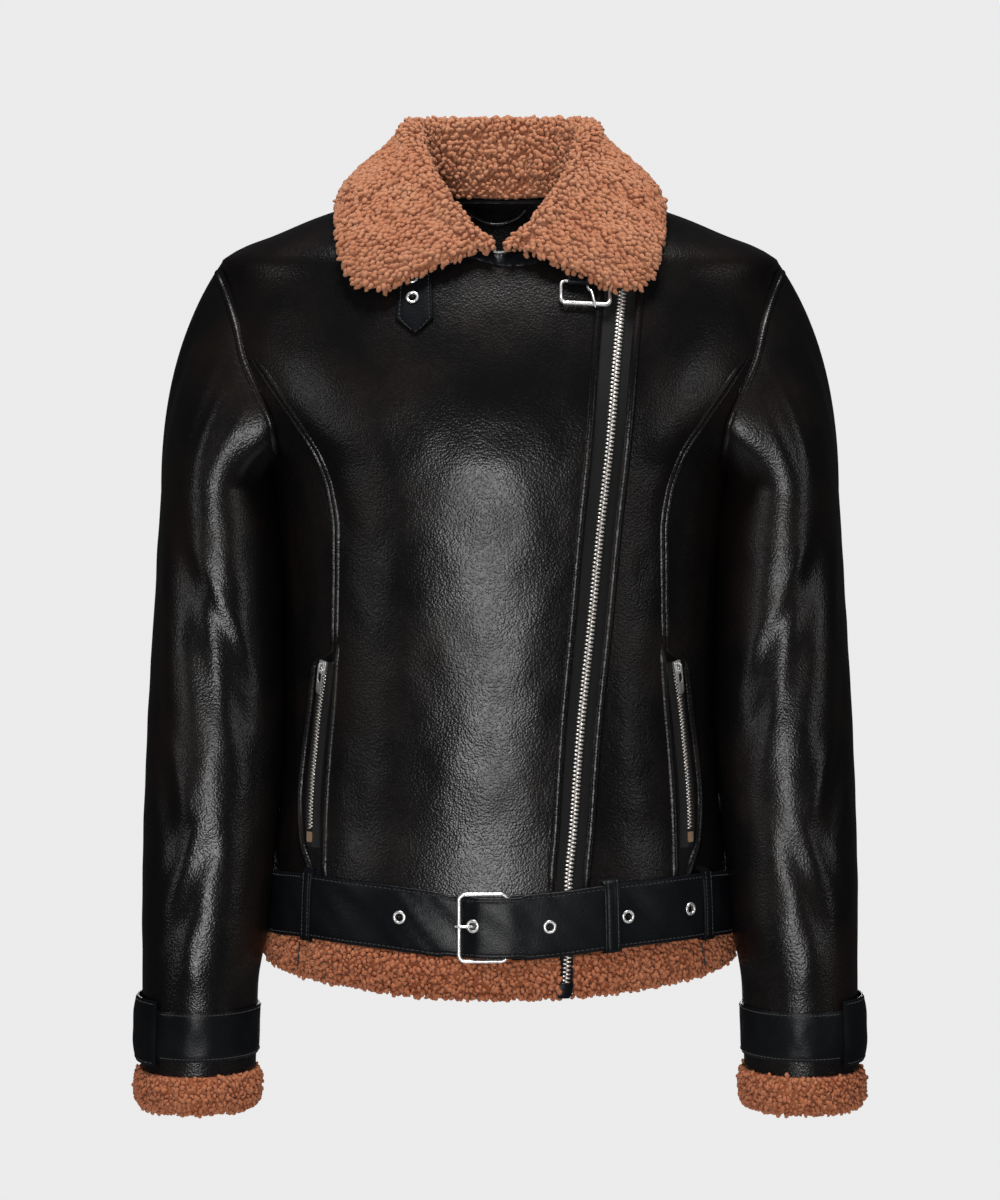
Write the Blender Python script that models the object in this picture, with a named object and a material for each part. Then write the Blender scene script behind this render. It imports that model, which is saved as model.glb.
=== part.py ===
import math

import bmesh
import bpy
import numpy as np

# Shearling leather jacket, filled out as if worn. x runs to the viewer's right and the front faces -y.
# z = 0 is the height of the neck points at the shoulders. Names say the wearer's side: right is at -x.
# Sizes are in millimetres and become metres when a mesh is made.
metre = 0.001

# Walls and gaps
leather_wall = 2.4
seam_gap = 0.15
lay_gap = 0.4
facing_gap = 0.8
tape_gap = 1.8
pocket_tape_gap = 1.1
sheet_gap = 0.45
fur_depth = 8.6
collar_leather_wall = 1.2

# Driving levels of the body
panel_foot = -536.0
armhole_foot = -206.0
shoulder_tip_z = -55.0
slice_power = 2.2

# Belt, zips and metal
belt_height = 46.0
buckle_strap_height = 42.8
belt_wall = 2.3
eyelet_outer = 4.8
eyelet_crown = 3.7
eyelet_hole = 2.7
strap_hole = 3.1
chain_half_width = 3.2

# Counts of steps along the seams that pieces share
side_seam_steps = 8
armhole_lower_steps = 6
armhole_upper_steps = 4
princess_steps = side_seam_steps + armhole_lower_steps
shoulder_steps = 4
neck_steps = 8
side_panel_columns = 5

# Slices of the torso: height, half width, depth of the front and depth of the back
torso_slices = (
    (-590.0, 172.0, 132.0, 124.0),
    (-550.0, 171.0, 131.0, 123.0),
    (-503.0, 169.5, 129.0, 121.0),
    (-451.0, 160.5, 127.0, 118.0),
    (-377.0, 155.5, 127.0, 116.0),
    (-302.0, 156.0, 128.0, 118.0),
    (-263.0, 158.0, 129.0, 120.0),
    (-206.0, 168.0, 130.0, 121.0),
    (-175.0, 190.0, 127.0, 120.0),
    (-149.0, 204.0, 122.0, 118.0),
    (-124.0, 209.0, 114.0, 114.0),
    (-98.0, 206.0, 104.0, 108.0),
    (-70.0, 202.5, 91.0, 99.0),
    (-55.0, 205.5, 84.0, 93.0),
    (-43.7, 188.0, 76.0, 86.0),
    (-35.5, 166.5, 68.0, 80.0),
    (-22.0, 134.0, 54.0, 70.0),
    (0.0, 66.0, 32.0, 58.0),
)

# Princess seams of the fronts and of the back: height, distance from the middle
princess_front = (
    (-536.0, 129.0),
    (-458.0, 128.0),
    (-411.0, 125.2),
    (-369.0, 121.5),
    (-320.0, 118.6),
    (-252.0, 117.5),
    (-221.0, 121.7),
    (-200.0, 128.8),
    (-176.0, 142.9),
    (-149.0, 161.0),
    (-127.0, 177.5),
)
princess_back = (
    (-536.0, 112.0),
    (-411.0, 108.0),
    (-252.0, 107.0),
    (-200.0, 119.0),
    (-165.0, 143.0),
    (-127.0, 180.5),
)

# Edge of the side panel at the pocket mouth: height, distance from the middle
pocket_line = (
    (-536.0, 129.0),
    (-500.0, 132.5),
    (-472.0, 141.0),
    (-448.0, 141.9),
    (-412.0, 139.0),
    (-379.0, 135.0),
    (-344.0, 131.0),
    (-335.0, 124.0),
)
# Heights of the rows that the panels share along their princess seams
princess_levels = (-536, -506, -476, -446, -414, -380, -345, -330, -300, -268, -237, -206, -177, -151, -127)

# Armholes from the shoulder down to the underarm: height, distance from the middle
armhole_front = (
    (-55.0, 205.5),
    (-70.0, 198.5),
    (-98.0, 189.0),
    (-122.0, 183.4),
    (-149.0, 172.0),
    (-175.0, 161.5),
    (-192.0, 160.0),
    (-203.0, 165.0),
    (-206.0, 168.0),
)
armhole_back = (
    (-55.0, 205.5),
    (-70.0, 199.5),
    (-98.0, 193.5),
    (-124.0, 188.0),
    (-149.0, 181.0),
    (-175.0, 171.0),
    (-195.0, 165.0),
    (-203.0, 166.5),
    (-206.0, 168.0),
)
armhole_joint_z = -122.0

# How the armhole seam faces: share of the way from shoulder to underarm, turn from up to down, outward lean
armhole_facing = (
    (0.00, 0.0, 0.90),
    (0.13, 46.0, 0.70),
    (0.28, 74.0, 0.38),
    (0.50, 89.0, 0.12),
    (0.64, 97.0, 0.02),
    (0.74, 122.0, 0.0),
    (0.88, 156.0, 0.0),
    (1.00, 180.0, 0.0),
)

# Neck seam: distance from the middle, height
neck_front = ((0.0, -50.0), (22.0, -46.0), (40.0, -34.0), (55.0, -18.0), (62.0, -6.5), (66.0, 0.0))
neck_back = ((0.0, -4.0), (30.0, -3.4), (50.0, -2.0), (61.0, -0.8), (66.0, 0.0))

# Middle of the main zip: height, place to the viewer's right
zip_line = (
    (-582.0, 44.5),
    (-562.0, 47.0),
    (-545.0, 47.8),
    (-496.0, 48.5),
    (-464.0, 51.4),
    (-392.0, 56.6),
    (-311.0, 64.8),
    (-250.0, 70.6),
    (-193.0, 76.8),
    (-129.0, 82.2),
    (-86.0, 86.3),
    (-46.0, 90.0),
)
zip_band_top = 13.2
zip_band_foot = 8.4
zip_band_left_side = 10.0
zip_top_z = -46.0
# Edges of the two fronts under the collar: height, place to the viewer's right
overlap_under_collar = ((-30.0, 84.0), (-14.0, 77.0), (-4.0, 70.0))
underlap_under_collar = ((-34.0, 95.0), (-22.0, 89.0), (-10.0, 80.0))
front_left_corner = (72.0, -3.0)
zip_foot_z = -570.0

# Middle of each pocket zip: height, distance from the middle
pocket_zip_line = (
    (-478.0, 137.2),
    (-459.0, 137.2),
    (-436.0, 136.2),
    (-400.0, 132.8),
    (-376.0, 130.2),
    (-351.0, 126.4),
    (-338.0, 125.0),
)

# Sleeve rings below the armpit: height, outer x, inner x, middle y, half depth
sleeve_rings = (
    (-222.0, 249.5, 166.5, -5.0, 70.0),
    (-263.0, 252.0, 164.5, -9.0, 68.0),
    (-302.0, 254.0, 163.0, -13.0, 66.0),
    (-327.0, 255.5, 163.0, -17.0, 64.0),
    (-393.0, 258.5, 163.5, -27.0, 59.0),
    (-446.0, 260.0, 166.5, -36.0, 54.0),
    (-512.0, 261.0, 172.5, -46.0, 49.0),
    (-572.0, 260.5, 176.0, -52.0, 46.0),
    (-650.0, 262.0, 178.5, -55.0, 44.0),
)
sleeve_foot = -640.0
sleeve_levels = (-222, -245, -268, -292, -317, -343, -370, -399, -430, -464, -502, -544, -592, -640)
cap_shares = (0.12, 0.30, 0.52, 0.76)
cap_fullness = 0.35

# Long soft folds of the sleeves: start angle and height, end angle and height, depth, half width in degrees
sleeve_folds = (
    (52.0, -230.0, 96.0, -400.0, -3.2, 13.0),
    (78.0, -262.0, 128.0, -420.0, -2.6, 12.0),
    (24.0, -330.0, 66.0, -500.0, -2.4, 12.0),
    (100.0, -455.0, 60.0, -560.0, -2.0, 12.0),
    (300.0, -240.0, 262.0, -420.0, -3.0, 14.0),
    (236.0, -300.0, 208.0, -440.0, -2.4, 12.0),
    (318.0, -410.0, 286.0, -560.0, -2.2, 12.0),
)

# Cuffs
cuff_strap_top = -594.0
cuff_strap_foot = -629.5
cuff_strap_wall = 1.8
cuff_tab_top = -587.0
cuff_tab_foot = -634.0
cuff_tab_half_turn = 52.0
cuff_tab_wall = 1.6
cuff_tab_bow = 1.2
cuff_tab_puff = 2.6
cuff_fur_bend = -650.0
# Cuff shearling profile: height over the sleeve, z
cuff_fur_profile = (
    (-2.6, -640.4),
    (2.2, -640.4),
    (5.0, -645.0),
    (5.8, -655.0),
    (4.6, -665.5),
    (0.0, -671.0),
    (-6.0, -669.0),
    (-8.0, -660.0),
    (-7.4, -648.0),
)

# Belt: place to the viewer's right, height of its middle line
belt_line = (
    (-171.0, -522.5),
    (-139.0, -518.8),
    (-93.0, -520.8),
    (-57.0, -524.3),
    (-28.0, -527.4),
    (0.0, -528.0),
    (36.0, -526.0),
    (72.0, -522.2),
    (108.0, -519.5),
    (139.0, -519.0),
    (171.0, -522.5),
)
belt_under_start = 8.0
# Levels at which places along the belt, its loops and the hem are measured
belt_level = -527.0
loop_level = -522.0
hem_level = -555.0
# The strap over its buckle end: place to the viewer's right, height of its inner face over the panels
strap_rise = (
    (-40.0, 0.6),
    (-30.0, 0.6),
    (-25.2, 1.2),
    (-20.0, 3.3),
    (-14.8, 4.6),
    (-7.4, 5.1),
    (5.2, 5.4),
    (22.0, 4.1),
    (40.0, 3.7),
)
strap_over = 3.7
strap_under = 0.6
belt_side_ease = 1.0
belt_end_quarter = 5.03

# Belt loops at the front: name, place to the viewer's right, width, layers of belt beneath
belt_loops = (
    ("belt_loop_front_right", -136.0, 9.0, 1),
    ("belt_loop_front_left", 77.5, 11.5, 2),
    ("belt_loop_side_left", 144.0, 9.5, 2),
)
back_loop_x = 88.0
back_loop_width = 10.0
loop_wall = 1.6

# Belt eyelets: place to the viewer's right
belt_eyelets = (-70.4, -18.9, 34.4, 88.4, 132.0)

# Belt buckle, flat wire frame
buckle_bar_x = -28.5
buckle_hinge_x = 5.2
buckle_middle_x = -12.0
buckle_bar_lift = 4.7
buckle_hinge_lift = 2.15
buckle_corner = 4.0
buckle_wire = 1.4
buckle_half_height = 23.6
# Prong of the belt buckle: place to the viewer's right, height over the panels
prong_path = (
    (3.0, 2.2),
    (-4.0, 1.5),
    (-10.0, 1.4),
    (-14.0, 1.7),
    (-17.0, 3.2),
    (-20.5, 7.0),
    (-23.0, 7.9),
    (-28.5, 7.9),
    (-31.5, 7.3),
)
prong_wire = 1.0

# Hem shearling: seams at the sides, ends beside the zip, thickness
hem_seam_x = 136.0
hem_split_right = 39.5
hem_split_left = 54.5
hem_thickness = 6.0

# Collar from the tip at the front to the middle of the back.
# Columns: neck seam x and z, roll x, y and z outside the shearling, edge x and z, 1 where the edge is behind
collar_rows = (
    (8.0, -49.2, 9.0, -97.0, -47.0, 80.0, -80.5, 0),
    (24.0, -45.2, 22.0, -86.0, -30.0, 96.0, -79.0, 0),
    (40.0, -34.0, 37.0, -70.0, -9.0, 107.0, -67.0, 0),
    (53.0, -20.5, 50.0, -49.0, 10.0, 112.5, -50.0, 0),
    (62.0, -6.5, 59.0, -27.0, 30.0, 115.0, -31.0, 0),
    (66.0, 0.0, 66.0, 0.0, 49.0, 113.0, -13.8, 1),
    (54.0, -1.6, 66.0, 36.0, 57.0, 98.0, -22.0, 1),
    (30.0, -3.4, 44.0, 63.0, 59.5, 60.0, -31.0, 1),
    (0.0, -4.0, 0.0, 75.0, 61.0, 0.0, -34.0, 1),
)
collar_columns = 26
collar_fold = 4.0
collar_lift = 8.0
collar_neck_lift = 0.8
collar_fall_steps = 5
collar_stand_depth = 14.0

# Throat strap on the wearer's right: x at left and right edge, height
throat_strap_rows = (
    (-72.0, -48.5, -64.0),
    (-72.6, -48.0, -76.0),
    (-73.2, -47.4, -88.0),
    (-73.9, -46.8, -98.0),
)
throat_strap_tip = (-61.0, -109.0)
throat_eyelets = ((-61.9, -84.3), (-62.4, -69.8))
throat_wall = 1.8

# Neck buckle on the wearer's left, hanging open
neck_buckle_centre = (60.2, -81.4)
neck_buckle_half = (17.4, 8.6)
neck_buckle_turn = -3.0
neck_buckle_lift = 3.1
neck_buckle_wire = 1.15
neck_buckle_foot_wire = 1.5
neck_buckle_corner = 3.0
neck_prong_wire = 0.95
neck_strap_half_width = 12.5
neck_strap_wall = 1.1
neck_strap_length = 12.5
neck_strap_return = 3.0

# Facing inside the back of the neck: rows of the back's grid that it covers
facing_rows = 3
facing_wall = 1.0
# Hanger loop: place across the back, height, depth inside the back
hanger_path = (
    (-27.0, -9.0, 6.1),
    (-21.0, -13.0, 9.0),
    (-9.0, -17.0, 10.5),
    (3.0, -17.0, 10.5),
    (14.0, -13.5, 9.0),
    (20.0, -9.0, 6.1),
)
hanger_radius = 1.3

# Zip tapes
tape_wall = 0.9
bead_top = -0.5
main_tape_half = 16.0
main_tape_half_below = 6.2
pocket_tape_half = 11.0

# Zip sliders and pulls: along the zip, across it and out from it
slider_half = 3.6
slider_low = 0.3
slider_high = 2.5
slider_outline = (
    (-slider_half, 4.5),
    (slider_half, 4.5),
    (slider_half, -1.0),
    (slider_half * 0.72, -5.0),
    (-slider_half * 0.72, -5.0),
    (-slider_half, -1.0),
)
bridge_half = 0.8
bridge_arch = (
    (3.4, 1.8),
    (3.4, 4.2),
    (2.2, 5.7),
    (-2.2, 5.7),
    (-3.4, 4.2),
    (-3.4, 1.8),
    (-2.2, 1.8),
    (-2.2, 3.8),
    (-1.4, 4.8),
    (1.4, 4.8),
    (2.2, 3.8),
    (2.2, 1.8),
)
pull_axis_lift = 3.7
pull_half = 2.9
pull_slot_half = 1.75
pull_slot_foot = 11.0
pull_bar_top = -0.6
pull_bar_foot = 0.55
pull_wall = 0.8
pull_tilt = 4.0
main_slider_z = -60.0
main_pull_length = 17.0
pocket_slider_z = -347.0
pocket_pull_length = 20.0
pocket_tape_foot = -477.0
pocket_tape_top = -343.5


def fit(rows):
    """Smooth curve through rows of (key, value, ...), free of overshoot."""
    data = np.array(rows, float)
    data = data[np.argsort(data[:, 0])]
    keys, values = data[:, 0], data[:, 1:]
    step = np.diff(keys)[:, None]
    rise = np.diff(values, axis=0) / step
    slope = np.zeros_like(values)
    slope[0], slope[-1] = rise[0], rise[-1]
    same = rise[:-1] * rise[1:] > 0
    near, far = rise[:-1], rise[1:]
    slope[1:-1][same] = 2 * near[same] * far[same] / (near[same] + far[same])

    def at(key):
        key = np.clip(np.asarray(key, float), keys[0], keys[-1])
        i = np.clip(np.searchsorted(keys, key) - 1, 0, len(keys) - 2)
        width = keys[i + 1] - keys[i]
        t = ((key - keys[i]) / width)[..., None]
        width = width[..., None]
        a, b = values[i], values[i + 1]
        m, n = slope[i] * width, slope[i + 1] * width
        out = (2 * t**3 - 3 * t**2 + 1) * a + (t**3 - 2 * t**2 + t) * m
        out = out + (3 * t**2 - 2 * t**3) * b + (t**3 - t**2) * n
        return out[..., 0] if out.shape[-1] == 1 else out

    return at


def spaced(points, steps):
    """Points at even distances along a smooth line through the given ones."""
    points = np.array(points, float)
    run = np.r_[0, np.cumsum(np.linalg.norm(np.diff(points, axis=0), axis=1))]
    line = fit(np.c_[run, points])
    fine = line(np.linspace(0, run[-1], 400))
    length = np.r_[0, np.cumsum(np.linalg.norm(np.diff(fine, axis=0), axis=1))]
    want = np.linspace(0, length[-1], steps + 1)
    return np.stack([np.interp(want, length, fine[:, k]) for k in range(fine.shape[1])], axis=1)


def unit(v):
    v = np.asarray(v, float)
    return v / np.linalg.norm(v, axis=-1, keepdims=True)


# The torso is a stack of level slices, each a squared ellipse with its own front and back depth.
# A place on it is (h, z): h is the way along the slice from its middle, to the viewer's right.
slice_at = fit(torso_slices)
quarter = np.linspace(0, math.pi / 2, 90)


def slice_size(face, z):
    half_width, front, back = slice_at(z)
    return half_width, front if face < 0 else back


def quarter_run(face, z):
    half_width, depth = slice_size(face, z)
    x = half_width * np.sin(quarter) ** (2 / slice_power)
    y = depth * np.cos(quarter) ** (2 / slice_power)
    return np.r_[0, np.cumsum(np.hypot(np.diff(x), np.diff(y)))]


def h_of(face, x, z):
    half_width, _ = slice_size(face, z)
    turn = math.asin(min(abs(x) / half_width, 1.0) ** (slice_power / 2))
    return math.copysign(np.interp(turn, quarter, quarter_run(face, z)), x)


def torso(face, h, z, lift=0.0):
    """Point and outward normal of the torso at (h, z)."""
    half_width, depth = slice_size(face, z)
    turn = np.interp(abs(h), quarter_run(face, z), quarter)
    s, c = math.sin(turn) ** (2 / slice_power), math.cos(turn) ** (2 / slice_power)
    x, y = math.copysign(half_width * s, h), face * depth * c
    up, low = slice_size(face, z + 1), slice_size(face, z - 1)
    grow = ((up[0] - low[0]) / 2, (up[1] - low[1]) / 2)
    p = slice_power
    normal = unit((
        math.copysign(s ** (p - 1) / half_width, x),
        face * c ** (p - 1) / depth,
        -(s**p) * grow[0] / half_width - (c**p) * grow[1] / depth,
    ))
    return np.array((x, y, z)) + lift * normal, normal


def on_torso(face, x, z, lift=0.0):
    return torso(face, h_of(face, x, z), z, lift)


def waist(turn, z, lift=0.0):
    """Place round the waist in quarter turns from the middle of the front towards the viewer's right."""
    turn = turn % 4
    if 1 <= turn < 3:
        return torso(1, (2 - turn) * quarter_run(1, z)[-1], z, lift)
    turn = turn - 4 if turn >= 3 else turn
    return torso(-1, turn * quarter_run(-1, z)[-1], z, lift)


# Outlines as lists of (h, z)
def outline(face, side, rows, steps):
    """A seam given as (z, x) rows, in places (h, z), from its first row to its last."""
    return spaced([(h_of(face, side * x, z), z) for z, x in rows], steps)


princess_of = {-1: fit(princess_front), 1: fit(princess_back)}
armhole_of = {-1: fit(armhole_front), 1: fit(armhole_back)}
underarm_levels = (-206.0, -205.4, -204.4, -203.0, -199.0, -194.0, -186.0, -175.0, -162.0, -149.0, -135.0,
                   armhole_joint_z)


def princess(face, side):
    """Princess seam from the foot of the panels up to the armhole."""
    return np.array([(h_of(face, side * float(princess_of[face](z)), z), z) for z in princess_levels])


def armhole_lower(face, side):
    """Armhole from the underarm up to the princess seam."""
    rows = [(z, float(armhole_of[face](z))) for z in underarm_levels]
    return outline(face, side, rows, armhole_lower_steps)


def armhole_upper(face, side):
    """Armhole from the princess seam up to the shoulder."""
    rows = [(z, float(armhole_of[face](z))) for z in np.linspace(armhole_joint_z, shoulder_tip_z, 14)]
    return outline(face, side, rows, armhole_upper_steps)


def side_seam(face, side):
    levels = np.linspace(panel_foot, armhole_foot, side_seam_steps + 1)
    return np.array([(side * quarter_run(face, z)[-1], z) for z in levels])


def shoulder(face, side):
    """Shoulder seam from the tip to the neck point."""
    levels = spaced([(slice_at(z)[0], z) for z in np.linspace(shoulder_tip_z, 0.0, 30)], shoulder_steps)[:, 1]
    return np.array([(side * quarter_run(face, z)[-1], z) for z in levels])


def neck_half(face, side):
    """Neck seam from the neck point to the middle."""
    rows = neck_front if face < 0 else neck_back
    return spaced([(h_of(face, side * x, z), z) for x, z in reversed(rows)], neck_steps // 2)


def join(*lines):
    parts = [lines[0]]
    for line in lines[1:]:
        parts.append(line[1:])
    return np.concatenate(parts)


def stretch(foot, top, left, right):
    """Grid of places between four outlines that meet at the corners."""
    rows, columns = len(left), len(foot)
    v = np.linspace(0, 1, rows)[:, None, None]
    u = np.linspace(0, 1, columns)[None, :, None]
    grid = (1 - v) * foot[None] + v * top[None] + (1 - u) * left[:, None] + u * right[:, None]
    grid = grid - (1 - u) * (1 - v) * foot[0] - u * (1 - v) * foot[-1]
    return grid - (1 - u) * v * top[0] - u * v * top[-1]


def along(a, b, steps):
    t = np.linspace(0, 1, steps + 1)[:, None]
    return (1 - t) * np.asarray(a, float) + t * np.asarray(b, float)


def lift_grid(face, grid):
    """Points and normals of the torso over a grid of places."""
    pairs = [[torso(face, h, z) for h, z in row] for row in grid]
    points = np.array([[p for p, _ in row] for row in pairs])
    normals = np.array([[n for _, n in row] for row in pairs])
    return points, normals


def pull_in(points, by=seam_gap):
    """Draws the four edges of a grid in along the surface."""
    out = points.copy()
    out[0] += by * unit(points[1] - points[0])
    out[-1] += by * unit(points[-2] - points[-1])
    out[:, 0] += by * unit(points[:, 1] - points[:, 0])
    out[:, -1] += by * unit(points[:, -2] - points[:, -1])
    return out


# Meshes
def material(name, colour, roughness, metallic=0.0):
    made = bpy.data.materials.new(name)
    made.use_nodes = True
    shader = made.node_tree.nodes["Principled BSDF"]
    shader.inputs["Base Color"].default_value = (*colour, 1.0)
    shader.inputs["Roughness"].default_value = roughness
    shader.inputs["Metallic"].default_value = metallic
    return made


def add_piece(name, vertices, faces, look, parent=None, origin=(0, 0, 0), smooth_angle=50.0):
    """Closed mesh with its faces turned out, placed at its origin."""
    origin = np.asarray(origin, float)
    mesh = bpy.data.meshes.new(name)
    mesh.from_pydata(((np.asarray(vertices) - origin) * metre).tolist(), [], [list(f) for f in faces])
    shape = bmesh.new()
    shape.from_mesh(mesh)
    bmesh.ops.recalc_face_normals(shape, faces=shape.faces)
    shape.to_mesh(mesh)
    shape.free()
    mesh.materials.append(look)
    mesh.shade_smooth()
    mesh.set_sharp_from_angle(angle=math.radians(smooth_angle))
    piece = bpy.data.objects.new(name, mesh)
    piece.location = (origin * metre).tolist()
    bpy.context.collection.objects.link(piece)
    if parent:
        piece.parent = parent
        piece.matrix_parent_inverse = parent.matrix_world.inverted()
    return piece


def wall(name, outer, inner, look, ring=False):
    """Wall between two grids of points, open at its edges or closed round into a ring."""
    rows, columns = outer.shape[:2]
    count = rows * columns
    vertices = np.concatenate([outer.reshape(-1, 3), inner.reshape(-1, 3)])
    faces = []
    spans = columns if ring else columns - 1
    for i in range(rows - 1):
        for j in range(spans):
            a, b = i * columns + j, i * columns + (j + 1) % columns
            faces.append((a, b, b + columns, a + columns))
            faces.append((a + count, a + columns + count, b + columns + count, b + count))
    for i in (0, rows - 1):
        for j in range(spans):
            a, b = i * columns + j, i * columns + (j + 1) % columns
            faces.append((a, b, b + count, a + count))
    if not ring:
        for j in (0, columns - 1):
            for i in range(rows - 1):
                a, b = i * columns + j, (i + 1) * columns + j
                faces.append((a, b, b + count, a + count))
    return add_piece(name, vertices, faces, look)


def sweep(name, rings, look, loop=False, **place):
    """Solid through closed profiles, with filled ends or joined round into a loop."""
    rings = np.asarray(rings, float)
    stations, size = rings.shape[:2]
    faces = []
    for i in range(stations if loop else stations - 1):
        for j in range(size):
            a, b = i * size + j, i * size + (j + 1) % size
            c, d = ((i + 1) % stations) * size + (j + 1) % size, ((i + 1) % stations) * size + j
            faces.append((a, b, c, d))
    if not loop:
        faces.append(tuple(range(size)))
        faces.append(tuple((stations - 1) * size + j for j in range(size)))
    return add_piece(name, rings.reshape(-1, 3), faces, look, **place)


def wire(name, path, radius, look, sides=6, loop=False, **place):
    """Round wire along a path; the radius may change from point to point."""
    path = np.asarray(path, float)
    radius = np.broadcast_to(radius, len(path))
    if loop:
        ahead = unit(np.roll(path, -1, axis=0) - np.roll(path, 1, axis=0))
    else:
        ahead = unit(np.gradient(path, axis=0))
    flat = unit(np.cross(path[1] - path[0], path[len(path) // 2] - path[0]))
    if not np.all(np.isfinite(flat)):
        flat = unit(np.cross(path[1] - path[0], (0.0, 1.0, 0.3)))
    side = unit(np.cross(ahead, flat))
    over = np.cross(ahead, side)
    turn = np.arange(sides) * 2 * math.pi / sides
    ring = np.cos(turn)[None, :, None] * side[:, None] + np.sin(turn)[None, :, None] * over[:, None]
    return sweep(name, path[:, None] + radius[:, None, None] * ring, look, loop, **place)


def cut(piece, cutter):
    """Takes a hidden cutter out of a piece."""
    cutter.hide_render = True
    cutter.display_type = "WIRE"
    cutter.hide_set(True)
    step = piece.modifiers.new(cutter.name, "BOOLEAN")
    step.operation = "DIFFERENCE"
    step.solver = "EXACT"
    step.object = cutter


def disc_frame(normal):
    across = unit(np.cross((0.0, 0.0, 1.0), normal))
    return across, np.cross(normal, across)


def hole_cutter(name, centre, normal, radius, reach, look):
    across, up = disc_frame(normal)
    turn = np.arange(12) * math.pi / 6
    ring = radius * (np.cos(turn)[:, None] * across + np.sin(turn)[:, None] * up)
    return sweep(name, [centre + ring - reach * normal, centre + ring + reach * normal], look)


def eyelet(name, centre, normal, look):
    """Pressed ring that lies on a strap."""
    across, up = disc_frame(normal)
    profile = (
        (eyelet_outer, 0.25),
        (eyelet_outer - 0.3, 0.75),
        (eyelet_crown, 1.05),
        (eyelet_hole, 0.7),
        (eyelet_hole, 0.25),
    )
    turn = np.arange(12) * math.pi / 6
    rings = []
    for t in turn:
        out = math.cos(t) * across + math.sin(t) * up
        rings.append([centre + r * out + lift * normal for r, lift in profile])
    return sweep(name, rings, look, loop=True)


# Torso panels
def zip_edge(offset_at):
    """Rows (z, x) of a panel edge beside the main zip."""
    middle = fit(zip_line)
    return [(z, float(middle(z)) + offset_at(z)) for z in np.linspace(panel_foot, zip_top_z, 20)]


def front_panels(looks):
    """Overlapping front with the zip at its edge, and the front under the zip."""
    slope = (zip_band_top - zip_band_foot) / (zip_top_z - panel_foot)
    height = princess_steps + 1 + armhole_upper_steps
    tips = {s: shoulder(-1, s) for s in (-1, 1)}
    seams = {s: np.concatenate([princess(-1, s), armhole_upper(-1, s)]) for s in (-1, 1)}

    # From the wearer's right princess seam to the zip, and under the collar up to the left neck point
    neck = join(neck_half(-1, -1), neck_half(-1, 1)[::-1])
    top = join(tips[-1], neck)
    rows = zip_edge(lambda z: -zip_band_foot - slope * (z - panel_foot))
    edge = [(h_of(-1, x, z), z) for z, x in rows + list(overlap_under_collar)]
    right = spaced(edge + [tuple(top[-1])], height)
    torso_panel("front_right", -1, seams[-1], right, top, looks["leather"], armhole_left=True)

    # From the zip to the wearer's left princess seam
    top = tips[1][::-1].copy()
    top[0] = (h_of(-1, *front_left_corner), front_left_corner[1])
    rows = zip_edge(lambda z: zip_band_left_side)
    edge = [(h_of(-1, x, z), z) for z, x in rows + list(underlap_under_collar)]
    left = spaced(edge + [tuple(top[0])], height)
    torso_panel("front_left", -1, left, seams[1], top, looks["leather"], armhole_right=True)


def torso_panel(name, face, left, right, top, look, armhole_left=False, armhole_right=False):
    foot = along(left[0], right[0], len(top) - 1)
    points, normals = lift_grid(face, stretch(foot, top, left, right))
    first = princess_steps + 1
    if armhole_left:
        normals[first:, 0] = armhole_normals(points[first:, 0], face, -1)
    if armhole_right:
        normals[first:, -1] = armhole_normals(points[first:, -1], face, 1)
    wall_panel(name, points, normals, look)


def side_panels(looks):
    """Side panels of the front and back; the front ones are cut back beside each pocket zip."""
    pocket = fit(pocket_line)
    for face, part in ((-1, "side_front_"), (1, "side_back_")):
        for side, where in ((-1, "right"), (1, "left")):
            inner = princess(face, side)
            if face < 0:
                for k, (h, z) in enumerate(inner):
                    if z < pocket_line[-1][0]:
                        inner[k, 0] = h_of(-1, side * float(pocket(z)), z)
            outer = join(side_seam(face, side), armhole_lower(face, side))
            foot = along(inner[0], outer[0], side_panel_columns)
            top = along(inner[-1], outer[-1], side_panel_columns)
            points, normals = lift_grid(face, stretch(foot, top, inner, outer))
            normals[side_seam_steps:, -1] = armhole_normals(points[side_seam_steps:, -1], face, side)
            normals[-1] = unit(along(normals[-1, 0], normals[-1, -1], side_panel_columns))
            wall_panel(part + where, points, normals, looks["leather"])


panels = {}


def wall_panel(name, points, normals, look):
    outer = pull_in(points)
    panels[name] = outer, normals
    return wall(name, outer, outer - leather_wall * normals, look)


def armhole_shares(face, side):
    """Dense points down an armhole from the shoulder, with the share of the way to the underarm."""
    levels = np.r_[np.linspace(-206, -203, 60), np.linspace(-202.9, -55, 240)][::-1]
    points = np.array([on_torso(face, side * float(armhole_of[face](z)), z)[0] for z in levels])
    run = np.r_[0, np.cumsum(np.linalg.norm(np.diff(points, axis=0), axis=1))]
    return points, run / run[-1]


armhole_run = {(face, side): armhole_shares(face, side) for face in (-1, 1) for side in (-1, 1)}
armhole_turn = fit(armhole_facing)


def armhole_normals(points, face, side):
    """Facing of the armhole seam at points on it."""
    line, shares = armhole_run[(face, side)]
    out = []
    for point in points:
        turn, lean = armhole_turn(shares[np.argmin(np.linalg.norm(line - point, axis=1))])
        out.append((side * lean, face * math.sin(math.radians(turn)), math.cos(math.radians(turn))))
    return unit(out)


def back_panel(looks):
    seams = {s: np.concatenate([princess(1, s), armhole_upper(1, s)]) for s in (-1, 1)}
    neck = join(neck_half(1, -1), neck_half(1, 1)[::-1])
    top = join(shoulder(1, -1), neck, shoulder(1, 1)[::-1])
    torso_panel("back", 1, seams[-1], seams[1], top, looks["leather"], armhole_left=True, armhole_right=True)


# Sleeves
sleeve_at = fit(sleeve_rings)


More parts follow.
